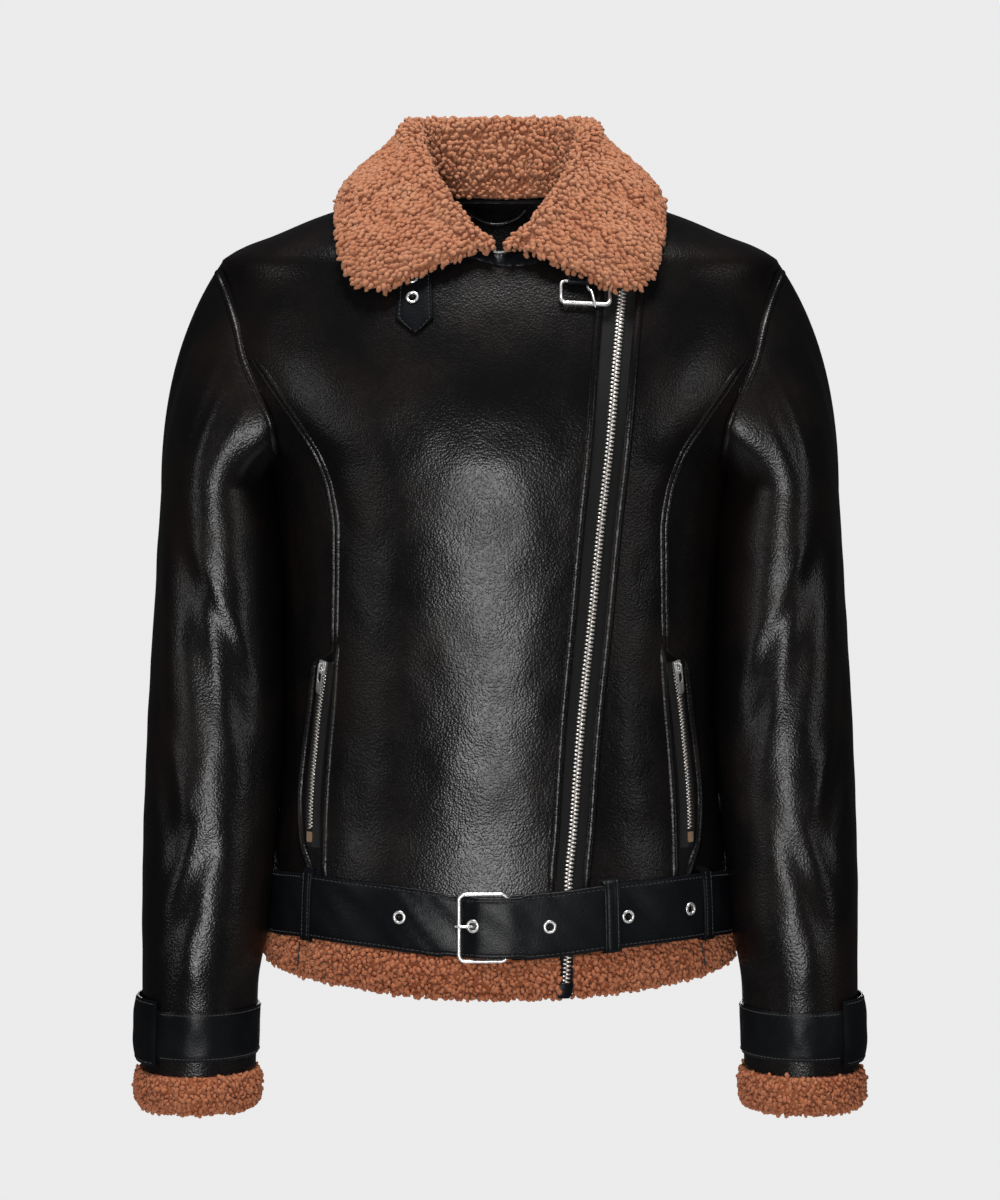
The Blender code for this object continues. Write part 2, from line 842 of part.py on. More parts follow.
def armhole_ring(side):
    """Seam points from the shoulder down the front to the underarm and up the back."""
    down = join(armhole_upper(-1, side)[::-1], armhole_lower(-1, side)[::-1])
    up = join(armhole_lower(1, side), armhole_upper(1, side))[1:-1]
    front = np.array([torso(-1, h, z)[0] for h, z in down])
    back = np.array([torso(1, h, z)[0] for h, z in up])
    normals = np.concatenate([armhole_normals(front, -1, side), armhole_normals(back, 1, side)])
    return np.concatenate([front, back]), normals


def ring_turns(points):
    """Angle of each column: 0 at the outside, 90 at the front, 180 at the inside."""
    closed = np.concatenate([points, points[:1]])
    run = np.r_[0, np.cumsum(np.linalg.norm(np.diff(closed, axis=0), axis=1))]
    half = armhole_upper_steps + armhole_lower_steps
    front = 180 * run[:half + 1] / run[half]
    back = 180 + 180 * (run[half + 1:] - run[half]) / (run[-1] - run[half])
    return np.concatenate([front, back])[:len(points)]


def sleeve_fold(turn, z):
    """How far the folds press the sleeve in at an angle and a height."""
    depth = 0.0
    for turn_a, top, turn_b, foot, deep, spread in sleeve_folds:
        share = (z - top) / (foot - top)
        window = max(0.0, 1 - (2 * share - 1) ** 4) if 0 <= share <= 1 else 0.0
        away = (turn - (turn_a + (turn_b - turn_a) * share) + 180) % 360 - 180
        depth += deep * window * math.exp(-(away / spread) ** 2)
    return depth


def sleeve_point(side, turn, z, lift=0.0):
    outer, inner, middle_y, half_depth = sleeve_at(z)
    middle_x, half_width = (outer + inner) / 2, (outer - inner) / 2
    c, s = math.cos(math.radians(turn)), math.sin(math.radians(turn))
    out = unit((c / half_width, -s / half_depth, 0.0))
    point = np.array((middle_x + half_width * c, middle_y - half_depth * s, z))
    point = point + (lift + sleeve_fold(turn, z)) * out
    return point * (side, 1, 1)


def grid_normals(points, side):
    """Outward normals of a ring grid."""
    down = np.gradient(points, axis=0)
    round_ = np.roll(points, -1, axis=1) - np.roll(points, 1, axis=1)
    return unit(np.cross(round_, down)) * side


def sleeve(side, looks):
    seam, seam_normals = armhole_ring(side)
    turns = ring_turns(seam)
    first = sleeve_levels[0]
    below = np.array([sleeve_point(side, t, first) for t in turns])
    reach = np.linalg.norm(below - seam, axis=1)[:, None]
    start = unit(below - seam + cap_fullness * reach * seam_normals) * reach
    end = np.array((0.0, 0.0, -1.0)) * reach
    rows = [seam + seam_gap * unit(start)]
    for t in cap_shares:
        row = (2 * t**3 - 3 * t**2 + 1) * seam + (t**3 - 2 * t**2 + t) * start
        rows.append(row + (3 * t**2 - 2 * t**3) * below + (t**3 - t**2) * end)
    rows += [np.array([sleeve_point(side, t, z) for t in turns]) for z in sleeve_levels]
    points = np.array(rows)
    normals = grid_normals(points, side)
    normals[0] = seam_normals
    name = "sleeve_left" if side > 0 else "sleeve_right"
    wall(name, points, points - leather_wall * normals, looks["leather"], ring=True)
    return turns


def cuffs(side, turns, looks):
    where = "left" if side > 0 else "right"

    def ring(z, lift):
        return np.array([sleeve_point(side, t, z, lift) for t in turns])

    face = lay_gap + cuff_strap_wall
    outer = np.array([ring(cuff_strap_top, face), ring(cuff_strap_foot, face)])
    inner = np.array([ring(cuff_strap_top, lay_gap), ring(cuff_strap_foot, lay_gap)])
    wall("cuff_strap_" + where, outer, inner, looks["strap"], ring=True)

    # Tab buttoned down over the outer side of the strap, bowed out in the middle
    tab_turns = np.linspace(-cuff_tab_half_turn, cuff_tab_half_turn, 9)
    levels = np.linspace(cuff_tab_top, cuff_tab_foot, 5)
    base = face + lay_gap
    outer, inner = [], []
    for k, z in enumerate(levels):
        bow = [math.sin(math.pi * k / 4) * (1 - (t / cuff_tab_half_turn) ** 2) for t in tab_turns]
        inner.append([sleeve_point(side, t, z, base + cuff_tab_bow * b) for t, b in zip(tab_turns, bow)])
        far = base + cuff_tab_wall
        outer.append([sleeve_point(side, t, z, far + cuff_tab_puff * b) for t, b in zip(tab_turns, bow)])
    wall("cuff_tab_" + where, np.array(outer), np.array(inner), looks["strap"])

    rings = []
    for t in turns:
        ring_points = []
        for lift, z in cuff_fur_profile:
            below = min(z - cuff_fur_bend, 0.0)
            ring_points.append(sleeve_point(side, t, z - below, lift) + (0, 0, below))
        rings.append(ring_points)
    sweep("cuff_shearling_" + where, rings, looks["dark_fur"], loop=True)


# Hem shearling
belt_middle = fit(belt_line)


def belt_z(turn):
    """Height of the belt's middle line round the waist."""
    turn = turn % 4
    if 1 <= turn <= 3:
        return belt_line[0][1]
    h = (turn if turn < 1 else turn - 4) * quarter_run(-1, loop_level)[-1]
    return float(belt_middle(torso(-1, h, loop_level)[0][0]))


def hem_foot(turn):
    """Height of the hem: lowest at the middle of the front, higher at the sides."""
    front = math.cos(math.radians(90 * turn)) ** 2
    return -568.0 - (12.5 if math.cos(math.radians(90 * turn)) > 0 else 8.0) * front


def hem_ring(turn, squeeze=1.0):
    top = panel_foot - 2 * seam_gap
    ramp, foot = belt_z(turn) - belt_height / 2 - 2.4, hem_foot(turn)
    t = hem_thickness * squeeze
    profile = (
        (-leather_wall, top), (-0.2, top), (-0.2, ramp), (0.75 * t, ramp - 3.0), (t, ramp - 9.0),
        (0.95 * t, foot + 7.0), (0.45 * t, foot + 0.8), (-3.0, foot), (-7.0, foot + 5.0),
        (-8.0, ramp - 6.0), (-leather_wall, ramp + 6.0),
    )
    return [waist(turn, z, lift)[0] for lift, z in profile]


def waist_turn(x, z=hem_level):
    """Quarter turns of a place on the front given by x."""
    return (h_of(-1, x, z) / quarter_run(-1, z)[-1]) % 4


def hem(looks):
    seam_right, seam_left = waist_turn(-hem_seam_x), waist_turn(hem_seam_x)
    spans = (
        ("hem_front_right", seam_right - 4, waist_turn(hem_split_right), 15),
        ("hem_front_left", waist_turn(hem_split_left), seam_left, 8),
        ("hem_back", seam_left, seam_right, 24),
    )
    for name, a, b, steps in spans:
        gap = 0.0007
        turns = np.linspace(a + gap, b - gap, steps + 1)
        rings = []
        for k, turn in enumerate(turns):
            rings.append(hem_ring(turn, 0.82 if k in (0, steps) else 1.0))
        sweep(name, rings, looks["dark_fur"])


# Belt
strap_rise_at = fit(strap_rise)


def side_ease(turn):
    """Extra room between belt and panels away from the middle of the front."""
    away = min(turn % 4, 4 - turn % 4)
    share = min(max((away - 0.2) / 0.25, 0.0), 1.0)
    return belt_side_ease * share * share * (3 - 2 * share)


def strap_inner(turn):
    """Height of the strap's inner face over the panels, by its place along the belt."""
    if turn < 3.6:
        return strap_under + side_ease(turn)
    x = waist(turn, belt_level)[0][0]
    if turn < 4 + waist_turn(38.0, belt_level) and turn > waist_turn(-42.0, belt_level):
        return float(strap_rise_at(x))
    return (strap_under if turn < 4 else strap_over) + side_ease(turn)


def belt(looks):
    start = waist_turn(belt_under_start, belt_level)
    rise_a, rise_b = waist_turn(-46.0, belt_level), 4 + waist_turn(34.0, belt_level)
    turns = np.concatenate([
        np.linspace(start, 0.9, 9)[:-1],
        np.linspace(0.9, 3.1, 25)[:-1],
        np.linspace(3.1, rise_a, 8)[:-1],
        np.linspace(rise_a, rise_b, 19)[:-1],
        np.linspace(rise_b, belt_end_quarter, 11),
    ])
    rings = []
    for turn in turns:
        middle, inner = belt_z(turn), strap_inner(turn)
        near = turn > 3.5 and abs(waist(turn, belt_level)[0][0] - buckle_middle_x) < 26.0
        half = (buckle_strap_height if near else belt_height) / 2
        levels = (middle - half, middle + half)
        lifts = (inner, inner + belt_wall)
        rings.append([waist(turn, levels[a], lifts[b])[0] for a, b in ((0, 0), (0, 1), (1, 1), (1, 0))])
    strap = sweep("belt", rings, looks["strap"])
    for k, x in enumerate(belt_eyelets):
        turn = waist_turn(x, belt_level)
        turn = turn if turn > 3.5 else turn + 4
        z = belt_z(turn) + (1.2 if x < 0 else -1.0)
        face_lift = strap_inner(turn) + belt_wall
        centre, normal = waist(turn, z, face_lift)
        punch = f"belt_hole_{k + 1}"
        cut(strap, hole_cutter(punch, centre, normal, strap_hole, belt_wall + 0.35, looks["strap"]))
        ahead, behind = waist(turn + 0.01, z, 0.0)[0], waist(turn - 0.01, z, 0.0)[0]
        lean = strap_inner(turn + 0.01) - strap_inner(turn - 0.01)
        normal = unit(normal - lean / np.linalg.norm(ahead - behind) * unit(ahead - behind))
        eyelet(f"belt_eyelet_{k + 1}", centre, normal, looks["metal"])


def belt_loop(name, turn, width, layers, look):
    """Flat strip that stands over the belt and is sewn down above and below it."""
    half = width / 2 / quarter_run(-1 if turn < 1 or turn > 3 else 1, loop_level)[-1]
    near = (strap_over if layers == 2 else strap_under) + side_ease(turn) + belt_wall + 0.6
    far = near + loop_wall
    rings = []
    for place in (turn - half, turn, turn + half):
        high, low = belt_z(place) + belt_height / 2, belt_z(place) - belt_height / 2
        profile = (
            (lay_gap, high + 2.9), (near, high + 0.7), (near, low - 0.6), (lay_gap, low - 0.7),
            (lay_gap, low - 2.0), (far - 1.0, low - 1.9), (far, low - 1.1), (far, high + 1.2),
            (1.8, high + 4.7), (lay_gap, high + 4.7),
        )
        rings.append([waist(place, z, lift)[0] for lift, z in profile])
    sweep(name, rings, look)


def loops(looks):
    for name, x, width, layers in belt_loops:
        belt_loop(name, waist_turn(x, loop_level), width, layers, looks["strap"])
    for side, where in ((1, "left"), (-1, "right")):
        share = h_of(1, back_loop_x, loop_level) / quarter_run(1, loop_level)[-1]
        belt_loop("belt_loop_back_" + where, 2 - side * share, back_loop_width, 1, looks["strap"])


def belt_buckle(looks):
    """Rectangular wire frame and its prong."""
    middle = belt_z(waist_turn(buckle_middle_x, belt_level))
    corner = buckle_corner
    flat = []
    corners = (
        (buckle_bar_x, 1, 90),
        (buckle_bar_x, -1, 180),
        (buckle_hinge_x, -1, 270),
        (buckle_hinge_x, 1, 0),
    )
    for cx, cz, a in corners:
        inward = 1 if cx < 0 else -1
        x0, z0 = cx + inward * corner, middle + cz * (buckle_half_height - corner)
        for step in range(4):
            turn = math.radians(a + 30 * step)
            flat.append((x0 + corner * math.cos(turn), z0 + corner * math.sin(turn)))
    path = []
    for x, z in flat:
        share = (x - buckle_bar_x) / (buckle_hinge_x - buckle_bar_x)
        lift = buckle_bar_lift + (buckle_hinge_lift - buckle_bar_lift) * share
        path.append(on_torso(-1, x, z, lift)[0])
    wire("belt_buckle_frame", path, buckle_wire, looks["metal"], loop=True)
    path = [on_torso(-1, x, middle + 1.2, lift)[0] for x, lift in prong_path]
    radii = [prong_wire] * (len(path) - 1) + [0.6]
    wire("belt_buckle_prong", path, radii, looks["metal"])


# Collar
def collar_grid():
    """Base sheet of the collar: rows from the neck seam over the roll to the edge, columns round the neck."""
    rows = np.array(collar_rows)
    neck, roll, edge = [], [], []
    for k, (nx, nz, rx, ry, rz, ex, ez, back) in enumerate(rows):
        neck.append(on_torso(1 if k > 5 else -1, nx, nz)[0] + (0, 0, collar_neck_lift))
        roll.append((rx, ry, rz))
        edge.append(on_torso(1 if back else -1, ex, ez, collar_lift)[0])
    out = []
    for half in (neck, roll, edge):
        half = np.array(half)
        other = half[-2::-1] * (-1, 1, 1)
        out.append(np.concatenate([half, other]))
    neck, roll, edge = out
    keys = np.arange(len(neck), dtype=float)
    want = np.linspace(0, keys[-1], collar_columns + 1)
    smooth = [catmull(line, want) for line in (neck, roll, edge)]
    depth = fur_profile(want / keys[-1])
    columns = []
    for n, r, e, d in zip(*smooth, depth):
        columns.append(collar_section(n, r, e, d))
    return np.swapaxes(np.array(columns), 0, 1), depth


def catmull(points, at):
    """Smooth line through points at whole numbers."""
    out = []
    for t in at:
        i = min(int(t), len(points) - 2)
        f = t - i
        b, c = points[i], points[i + 1]
        a = points[i - 1] if i > 0 else 2 * b - c
        d = points[i + 2] if i + 2 < len(points) else 2 * c - b
        square, cube = 2 * a - 5 * b + 4 * c - d, 3 * b - a - 3 * c + d
        out.append(0.5 * (2 * b + (c - a) * f + square * f**2 + cube * f**3))
    return np.array(out)


def fur_profile(share):
    """Depth of the collar shearling: thinner at the two tips."""
    near = np.minimum(share, 1 - share)
    return fur_depth * (0.62 + 0.38 * np.clip(near / 0.09, 0, 1))


def collar_section(neck, roll, edge, depth):
    up = unit(roll - neck)
    top = roll - depth * up
    out = edge - roll
    out = unit(out - np.dot(out, up) * up)
    centre = top - collar_fold * up
    stand = centre - collar_fold * out
    rows = [neck, 0.5 * (neck + stand)]
    for turn in (180, 135, 90, 45, 0):
        t = math.radians(turn)
        rows.append(centre + collar_fold * (math.cos(t) * out + math.sin(t) * up))
    fall = rows[-1]
    length = np.linalg.norm(edge - fall)
    ahead = unit(edge - fall)
    side_lean = np.clip(abs(edge[0]) / 110 if edge[1] > -60 else 0.0, 0, 1)
    a = fall + 0.33 * length * unit(ahead - 0.25 * up + 0.2 * out)
    b = edge + 0.36 * length * unit(-ahead + (0, 0, 0.9 * side_lean))
    for k in range(1, collar_fall_steps + 1):
        t = k / collar_fall_steps
        point = (1 - t) ** 3 * fall + 3 * (1 - t) ** 2 * t * a + 3 * (1 - t) * t**2 * b + t**3 * edge
        rows.append(clear_of_body(point))
    return rows


def clear_of_body(point):
    """Moves a point of the collar's fall out to its least height over the body."""
    x, y, z = point
    if z > -1.0 or abs(x) >= slice_at(z)[0]:
        return point
    surface, normal = on_torso(1 if y > 0 else -1, x, z)
    lift = np.dot(point - surface, normal)
    return point + max(0.0, collar_lift - lift) * normal


def sheet_normals(points):
    down = np.gradient(points, axis=0)
    across = np.gradient(points, axis=1)
    return unit(np.cross(across, down))


def collar(looks):
    base, depth = collar_grid()
    normals = sheet_normals(base)
    middle = base.shape[1] // 2
    if normals[0, middle, 1] > 0:
        normals = -normals
    rows = base.shape[0]
    share = np.linspace(0, 1, collar_columns + 1)
    strip = np.clip((np.minimum(share, 1 - share) - 0.14) / 0.2, 0, 1)
    strip = collar_stand_depth * strip * strip * (3 - 2 * strip)
    shell = base.copy()
    rise = unit(base[2] - base[0])
    shell[0] = base[0] + (strip + 2 * seam_gap)[:, None] * rise
    shell[1] = 0.5 * (shell[0] + base[2])
    thick = np.ones(rows)
    thick[0], thick[-2], thick[-1] = 0.9, 0.95, 0.62
    body = depth[None, :] * thick[:, None]
    body[:, 0] *= 0.6
    body[:, -1] *= 0.6
    outer = shell + body[..., None] * normals
    wall("collar_shearling", outer, shell + sheet_gap * normals, looks["fur"])
    under = base - sheet_gap * normals
    wall("collar_leather", under, under - collar_leather_wall * normals, looks["leather"])

    # Separate strip of shearling round the foot of the stand
    first = int(np.argmax(strip > 2.0))
    keep = slice(first, collar_columns + 1 - first)
    low = base[0, keep]
    high = low + (strip[keep] - seam_gap)[:, None] * rise[keep]
    stand = np.array([low, 0.5 * (low + high), high])
    facing = normals[0, keep][None].repeat(3, axis=0)
    deep = (depth[keep] * 0.8)[None, :, None]
    wall("collar_stand_shearling", stand + deep * facing, stand + sheet_gap * facing, looks["fur"])


def neck_inside(looks):
    """Facing inside the back of the neck and its hanger loop."""
    points, normals = panels["back"]
    columns = slice(shoulder_steps + 1, shoulder_steps + neck_steps)
    points, normals = points[-facing_rows:, columns].copy(), normals[-facing_rows:, columns]
    points[-1] += 0.05 * (points[-2] - points[-1])
    near = leather_wall + facing_gap
    far = near + facing_wall
    wall("back_neck_facing", points - near * normals, points - far * normals, looks["lining"])
    path = np.array([on_torso(1, x, z, -depth)[0] for x, z, depth in hanger_path])
    wire("hanger_loop", catmull(path, np.linspace(0, len(path) - 1, 13)), hanger_radius, looks["lining"])


# Straps and buckle at the neck
def throat_strap(looks):
    rows = []
    for left, right, z in throat_strap_rows:
        rows.append([on_torso(-1, x, z) for x in np.linspace(left, right, 5)])
    left, right, z = throat_strap_rows[-1]
    ends = ((left, -103.0), (left + 5.5, -106.5), throat_strap_tip, (right - 6.0, -103.5), (right, -98.6))
    rows.append([on_torso(-1, x, z) for x, z in ends])
    points = np.array([[p for p, _ in row] for row in rows])
    normals = np.array([[n for _, n in row] for row in rows])
    face = lay_gap + throat_wall
    strap = wall("throat_strap", points + face * normals, points + lay_gap * normals, looks["strap"])
    for k, (x, z) in enumerate(throat_eyelets):
        centre, normal = on_torso(-1, x, z, face)
        punch = f"throat_hole_{k + 1}"
        cut(strap, hole_cutter(punch, centre, normal, strap_hole, throat_wall + 0.2, looks["strap"]))
        eyelet(f"throat_eyelet_{k + 1}", centre, normal, looks["metal"])


def neck_buckle(looks):
    """Strap end, wire frame and prong; the frame and the prong swing about the upper bar."""
    centre, normal = on_torso(-1, *neck_buckle_centre, neck_buckle_lift)
    level = unit(np.cross((0.0, 0.0, 1.0), normal))
    level = level if level[0] > 0 else -level
    rise = np.cross(normal, level)
    turn = math.radians(neck_buckle_turn)
    across = math.cos(turn) * level + math.sin(turn) * rise
    up = math.cos(turn) * rise - math.sin(turn) * level
    half_x, half_z = neck_buckle_half
    corner = neck_buckle_corner
    path, radii = [], []
    for sx, sz, a in ((1, 1, 0), (-1, 1, 90), (-1, -1, 180), (1, -1, 270)):
        for step in range(4):
            t = math.radians(a + 30 * step)
            u = sx * (half_x - corner) + corner * math.cos(t)
            v = sz * (half_z - corner) + corner * math.sin(t)
            path.append(centre + u * across + v * up)
            radii.append(neck_buckle_wire if sz > 0 else neck_buckle_foot_wire)
    axis_point = centre + half_z * up
    wire("neck_buckle_frame", path, radii, looks["metal"], loop=True, origin=axis_point)
    low = neck_buckle_wire + neck_buckle_foot_wire + 0.35
    spots = (
        (1.5, half_z - 3.3, 0.0),
        (2.4, half_z - 6.0, 0.7),
        (4.2, 0.0, low * 0.62),
        (6.0, -half_z, low),
        (6.8, -half_z - 4.0, low - 0.5),
    )
    path = [centre + u * across + v * up + w * normal for u, v, w in spots]
    radii = [neck_prong_wire] * (len(path) - 1) + [0.55]
    wire("neck_buckle_prong", path, radii, looks["metal"], origin=axis_point)

    # Strap folded round the upper bar
    bend = neck_buckle_wire + lay_gap
    wide = bend + neck_strap_wall
    turns = np.radians((270, 225, 180, 135, 90))
    profile = [(neck_strap_length, -bend)]
    profile += [(bend * math.cos(t), bend * math.sin(t)) for t in turns]
    profile += [(neck_strap_return, bend), (neck_strap_return, wide)]
    profile += [(wide * math.cos(t), wide * math.sin(t)) for t in turns[::-1]]
    profile += [(neck_strap_length, -wide)]
    stations = []
    for s in (-1, -0.33, 0.33, 1):
        mid = axis_point + s * neck_strap_half_width * across
        stations.append([mid + rise * up + lift * normal for rise, lift in profile])
    sweep("neck_buckle_strap", stations, looks["strap"])


# Zips
def zip_tape(name, rows, widths, gap, look):
    """Tape under both edges with a raised band for the chain."""
    high = -leather_wall - gap
    low = high - tape_wall
    bead_half = chain_half_width - 0.4
    rings = []
    for (z, x), half in zip(rows, widths):
        profile = (
            (-half, low),
            (half, low),
            (half, high),
            (chain_half_width, high),
            (bead_half, bead_top),
            (-bead_half, bead_top),
            (-chain_half_width, high),
            (-half, high),
        )
        middle = h_of(-1, x, z)
        rings.append([torso(-1, middle + across, z, lift)[0] for across, lift in profile])
    return sweep(name, rings, look)


def slider(name, x, z, looks, ahead):
    """Slider with a bridge that carries the pull, and the pull itself."""
    base, normal = on_torso(-1, x, z)
    up = unit(ahead - np.dot(ahead, normal) * normal)
    across = np.cross(up, normal)

    def at(u, v, w):
        return base + u * across + v * up + w * normal

    rings = [[at(u, v, w) for u, v in slider_outline] for w in (slider_low, slider_high)]
    body = sweep(name, rings, looks["metal"])
    rings = [[at(u, v, w) for v, w in bridge_arch] for u in (-bridge_half, bridge_half)]
    bridge = sweep(name + "_bridge", rings, looks["metal"])
    bridge.hide_render = True
    bridge.display_type = "WIRE"
    bridge.hide_set(True)
    joined = body.modifiers.new("bridge", "BOOLEAN")
    joined.operation = "UNION"
    joined.solver = "EXACT"
    joined.object = bridge
    return at


def pull(name, at, look, length):
    """Slotted pull whose upper bar passes under the bridge of its slider."""
    tilt = math.radians(pull_tilt)
    half, slot = pull_half, pull_slot_half

    def place(u, down, w):
        v = -down * math.cos(tilt) - w * math.sin(tilt)
        return at(u, v, pull_axis_lift - down * math.sin(tilt) + w * math.cos(tilt))

    outer, inner = [], []
    for first, centre_out, centre_in in (
        (180, length - half, pull_slot_foot - slot),
        (0, pull_bar_top + half, pull_bar_foot + slot),
    ):
        for k in range(7):
            turn = math.radians(first + 30 * k)
            outer.append((half * math.cos(turn), centre_out - half * math.sin(turn)))
            inner.append((slot * math.cos(turn), centre_in - slot * math.sin(turn)))
    count = len(outer)
    vertices, faces = [], []
    w_half = pull_wall / 2
    for ring, w in ((outer, w_half), (inner, w_half), (inner, -w_half), (outer, -w_half)):
        vertices += [place(u, down, w) for u, down in ring]
    for r in range(4):
        for k in range(count):
            a, b = r * count + k, r * count + (k + 1) % count
            c, d = ((r + 1) % 4) * count + (k + 1) % count, ((r + 1) % 4) * count + k
            faces.append((a, b, c, d))
    return add_piece(name, vertices, faces, look, origin=at(0, 0, pull_axis_lift))


def main_zip(looks):
    middle = fit(zip_line)
    levels = (zip_foot_z, -556.0, -539.0, -534.0, -518.0, *np.linspace(-500.0, zip_top_z - 2.0, 17))
    rows = [(z, float(middle(z))) for z in levels]
    widths = [main_tape_half_below if z < -535.0 else main_tape_half for z in levels]
    zip_tape("main_zip_tape", rows, widths, tape_gap, looks["tape"])
    z = main_slider_z
    x = float(middle(z))
    ahead = on_torso(-1, float(middle(z + 4)), z + 4)[0] - on_torso(-1, float(middle(z - 4)), z - 4)[0]
    at = slider("main_zip_slider", x, z, looks, ahead)
    pull("main_zip_pull", at, looks["metal"], main_pull_length)


def pocket_zips(looks):
    middle = fit(pocket_zip_line)
    for side, where in ((-1, "right"), (1, "left")):
        rows = [(z, side * float(middle(z))) for z in np.linspace(pocket_tape_foot, pocket_tape_top, 11)]
        widths = [pocket_tape_half] * len(rows)
        zip_tape("pocket_zip_tape_" + where, rows, widths, pocket_tape_gap, looks["tape"])
        z = pocket_slider_z
        ahead = on_torso(-1, rows[-1][1], rows[-1][0])[0] - on_torso(-1, rows[-3][1], rows[-3][0])[0]
        at = slider("pocket_slider_" + where, side * float(middle(z)), z, looks, ahead)
        pull("pocket_pull_" + where, at, looks["metal"], pocket_pull_length)


def main():
    for thing in list(bpy.data.objects):
        bpy.data.objects.remove(thing, do_unlink=True)
    looks = {
        "leather": material("black_leather", (0.012, 0.011, 0.011), 0.36),
        "strap": material("strap_leather", (0.010, 0.011, 0.013), 0.42),
        "lining": material("black_lining", (0.012, 0.012, 0.014), 0.6),
        "fur": material("caramel_shearling", (0.50, 0.20, 0.10), 0.95),
        "dark_fur": material("rust_shearling", (0.36, 0.13, 0.06), 0.95),
        "metal": material("polished_nickel", (0.78, 0.77, 0.75), 0.2, 1.0),
        "tape": material("zip_tape", (0.015, 0.015, 0.016), 0.75),
    }
    front_panels(looks)
    side_panels(looks)
    back_panel(looks)
    for side in (-1, 1):
        turns = sleeve(side, looks)
        cuffs(side, turns, looks)
    hem(looks)
    belt(looks)
    loops(looks)
    belt_buckle(looks)
    collar(looks)
    neck_inside(looks)
    throat_strap(looks)
    neck_buckle(looks)
    main_zip(looks)
    pocket_zips(looks)


main()
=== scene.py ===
import json
import math

import bmesh
import bpy
import mathutils
import numpy as np
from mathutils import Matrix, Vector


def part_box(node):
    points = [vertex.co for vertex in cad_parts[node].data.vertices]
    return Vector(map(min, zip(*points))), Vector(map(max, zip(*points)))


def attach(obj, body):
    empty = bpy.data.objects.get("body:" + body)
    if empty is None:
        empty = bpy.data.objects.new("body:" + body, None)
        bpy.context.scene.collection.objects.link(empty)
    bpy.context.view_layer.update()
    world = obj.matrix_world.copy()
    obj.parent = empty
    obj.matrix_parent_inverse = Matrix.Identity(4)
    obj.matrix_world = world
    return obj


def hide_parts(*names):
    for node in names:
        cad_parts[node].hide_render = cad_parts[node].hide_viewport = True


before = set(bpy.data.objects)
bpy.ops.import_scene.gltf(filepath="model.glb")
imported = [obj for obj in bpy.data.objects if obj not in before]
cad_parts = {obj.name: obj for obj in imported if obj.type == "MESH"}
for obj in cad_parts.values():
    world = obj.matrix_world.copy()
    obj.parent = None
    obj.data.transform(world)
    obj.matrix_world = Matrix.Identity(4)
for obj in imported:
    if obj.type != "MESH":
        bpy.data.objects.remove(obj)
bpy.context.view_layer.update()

mm = 0.001
body = "jacket"

# The cut of the body, in millimetres: x runs to the viewer's right, the front faces -y,
# and z = 0 is at the neck points. Left and right in names are the wearer's.
bodyCut = {
    "wall": 1.4, "power": 2.2, "panelFoot": -536.0, "princessTop": -127.0, "armholeFoot": -206.0,
    "armholeJoint": -127.2, "shoulderTip": -55.0, "seamGap": 0.12, "besideLift": 3.6,
}

# height, half width, depth of the front, depth of the back
torsoSlices = (
    (-590, 172, 132, 124), (-550, 171, 131, 123), (-503, 169.5, 129, 121),
    (-451, 160.5, 127, 118), (-377, 155.5, 127, 116), (-302, 156, 128, 118),
    (-263, 158, 129, 120), (-206, 168, 130, 121), (-175, 190, 127, 120),
    (-149, 204, 122, 118), (-124, 209, 114, 114), (-98, 206, 104, 108),
    (-70, 202.5, 91, 99), (-55, 205.5, 84, 93), (-43.7, 188, 76, 86),
    (-35.5, 166.5, 68, 80), (-22, 134, 54, 70), (0, 66, 32, 58),
)

# seams as height and distance from the middle
princessFront = (
    (-536, 129), (-458, 128), (-411, 125.2), (-369, 121.5), (-320, 118.6), (-252, 117.5),
    (-221, 121.7), (-200, 128.8), (-176, 142.9), (-149, 161), (-127, 177.5),
)
princessBack = (
    (-536, 112), (-411, 108), (-252, 107), (-200, 119), (-165, 143), (-127, 180.5),
)
pocketLine = (
    (-536, 129), (-500, 132.5), (-472, 141), (-448, 141.9), (-412, 139), (-379, 135),
    (-344, 131), (-335, 124),
)
armholeFront = (
    (-55, 205.5), (-70, 198.5), (-98, 189), (-122, 183.4), (-149, 172), (-175, 161.5),
    (-192, 160), (-203, 165), (-206, 168),
)
armholeBack = (
    (-55, 205.5), (-70, 199.5), (-98, 193.5), (-124, 188), (-149, 181), (-175, 171),
    (-195, 165), (-203, 166.5), (-206, 168),
)
# share of the way from shoulder to underarm, turn from up to down, outward lean
armholeFacing = (
    (0.00, 0, 0.90), (0.13, 46, 0.70), (0.28, 74, 0.38), (0.50, 89, 0.12), (0.64, 97, 0.02),
    (0.74, 122, 0), (0.88, 156, 0), (1.00, 180, 0),
)
# neck seam as distance from the middle and height
neckFront = ((0, -50), (22, -46), (40, -34), (55, -18), (62, -6.5), (66, 0))
neckBack = ((0, -4), (30, -3.4), (50, -2), (61, -0.8), (66, 0))

# main zip as height and place to the viewer's right
zipLine = (
    (-582, 44.5), (-562, 47), (-545, 47.8), (-496, 48.5), (-464, 51.4), (-392, 56.6),
    (-311, 64.8), (-250, 70.6), (-193, 76.8), (-129, 82.2), (-86, 86.3), (-46, 90),
)
mainZip = {
    "bandTop": 13.2, "bandFoot": 8.4, "bandLeft": 10.0, "top": -46.0, "foot": -570.0, "tapeFoot": -577.5,
    "tapeHalf": 15.0, "tapeHalfBelow": 6.2, "tapeGap": 1.2, "toothPitch": 2.9, "toothSize": 1.22,
}
overlapUnderCollar = ((-30, 84), (-14, 77), (-4, 70))
underlapUnderCollar = ((-34, 95), (-22, 89), (-10, 80))
frontLeftCorner = (72, -3)
pocketZipLine = (
    (-478, 137.2), (-459, 137.2), (-436, 136.2), (-400, 132.8), (-376, 130.2), (-351, 126.4),
    (-338, 125),
)
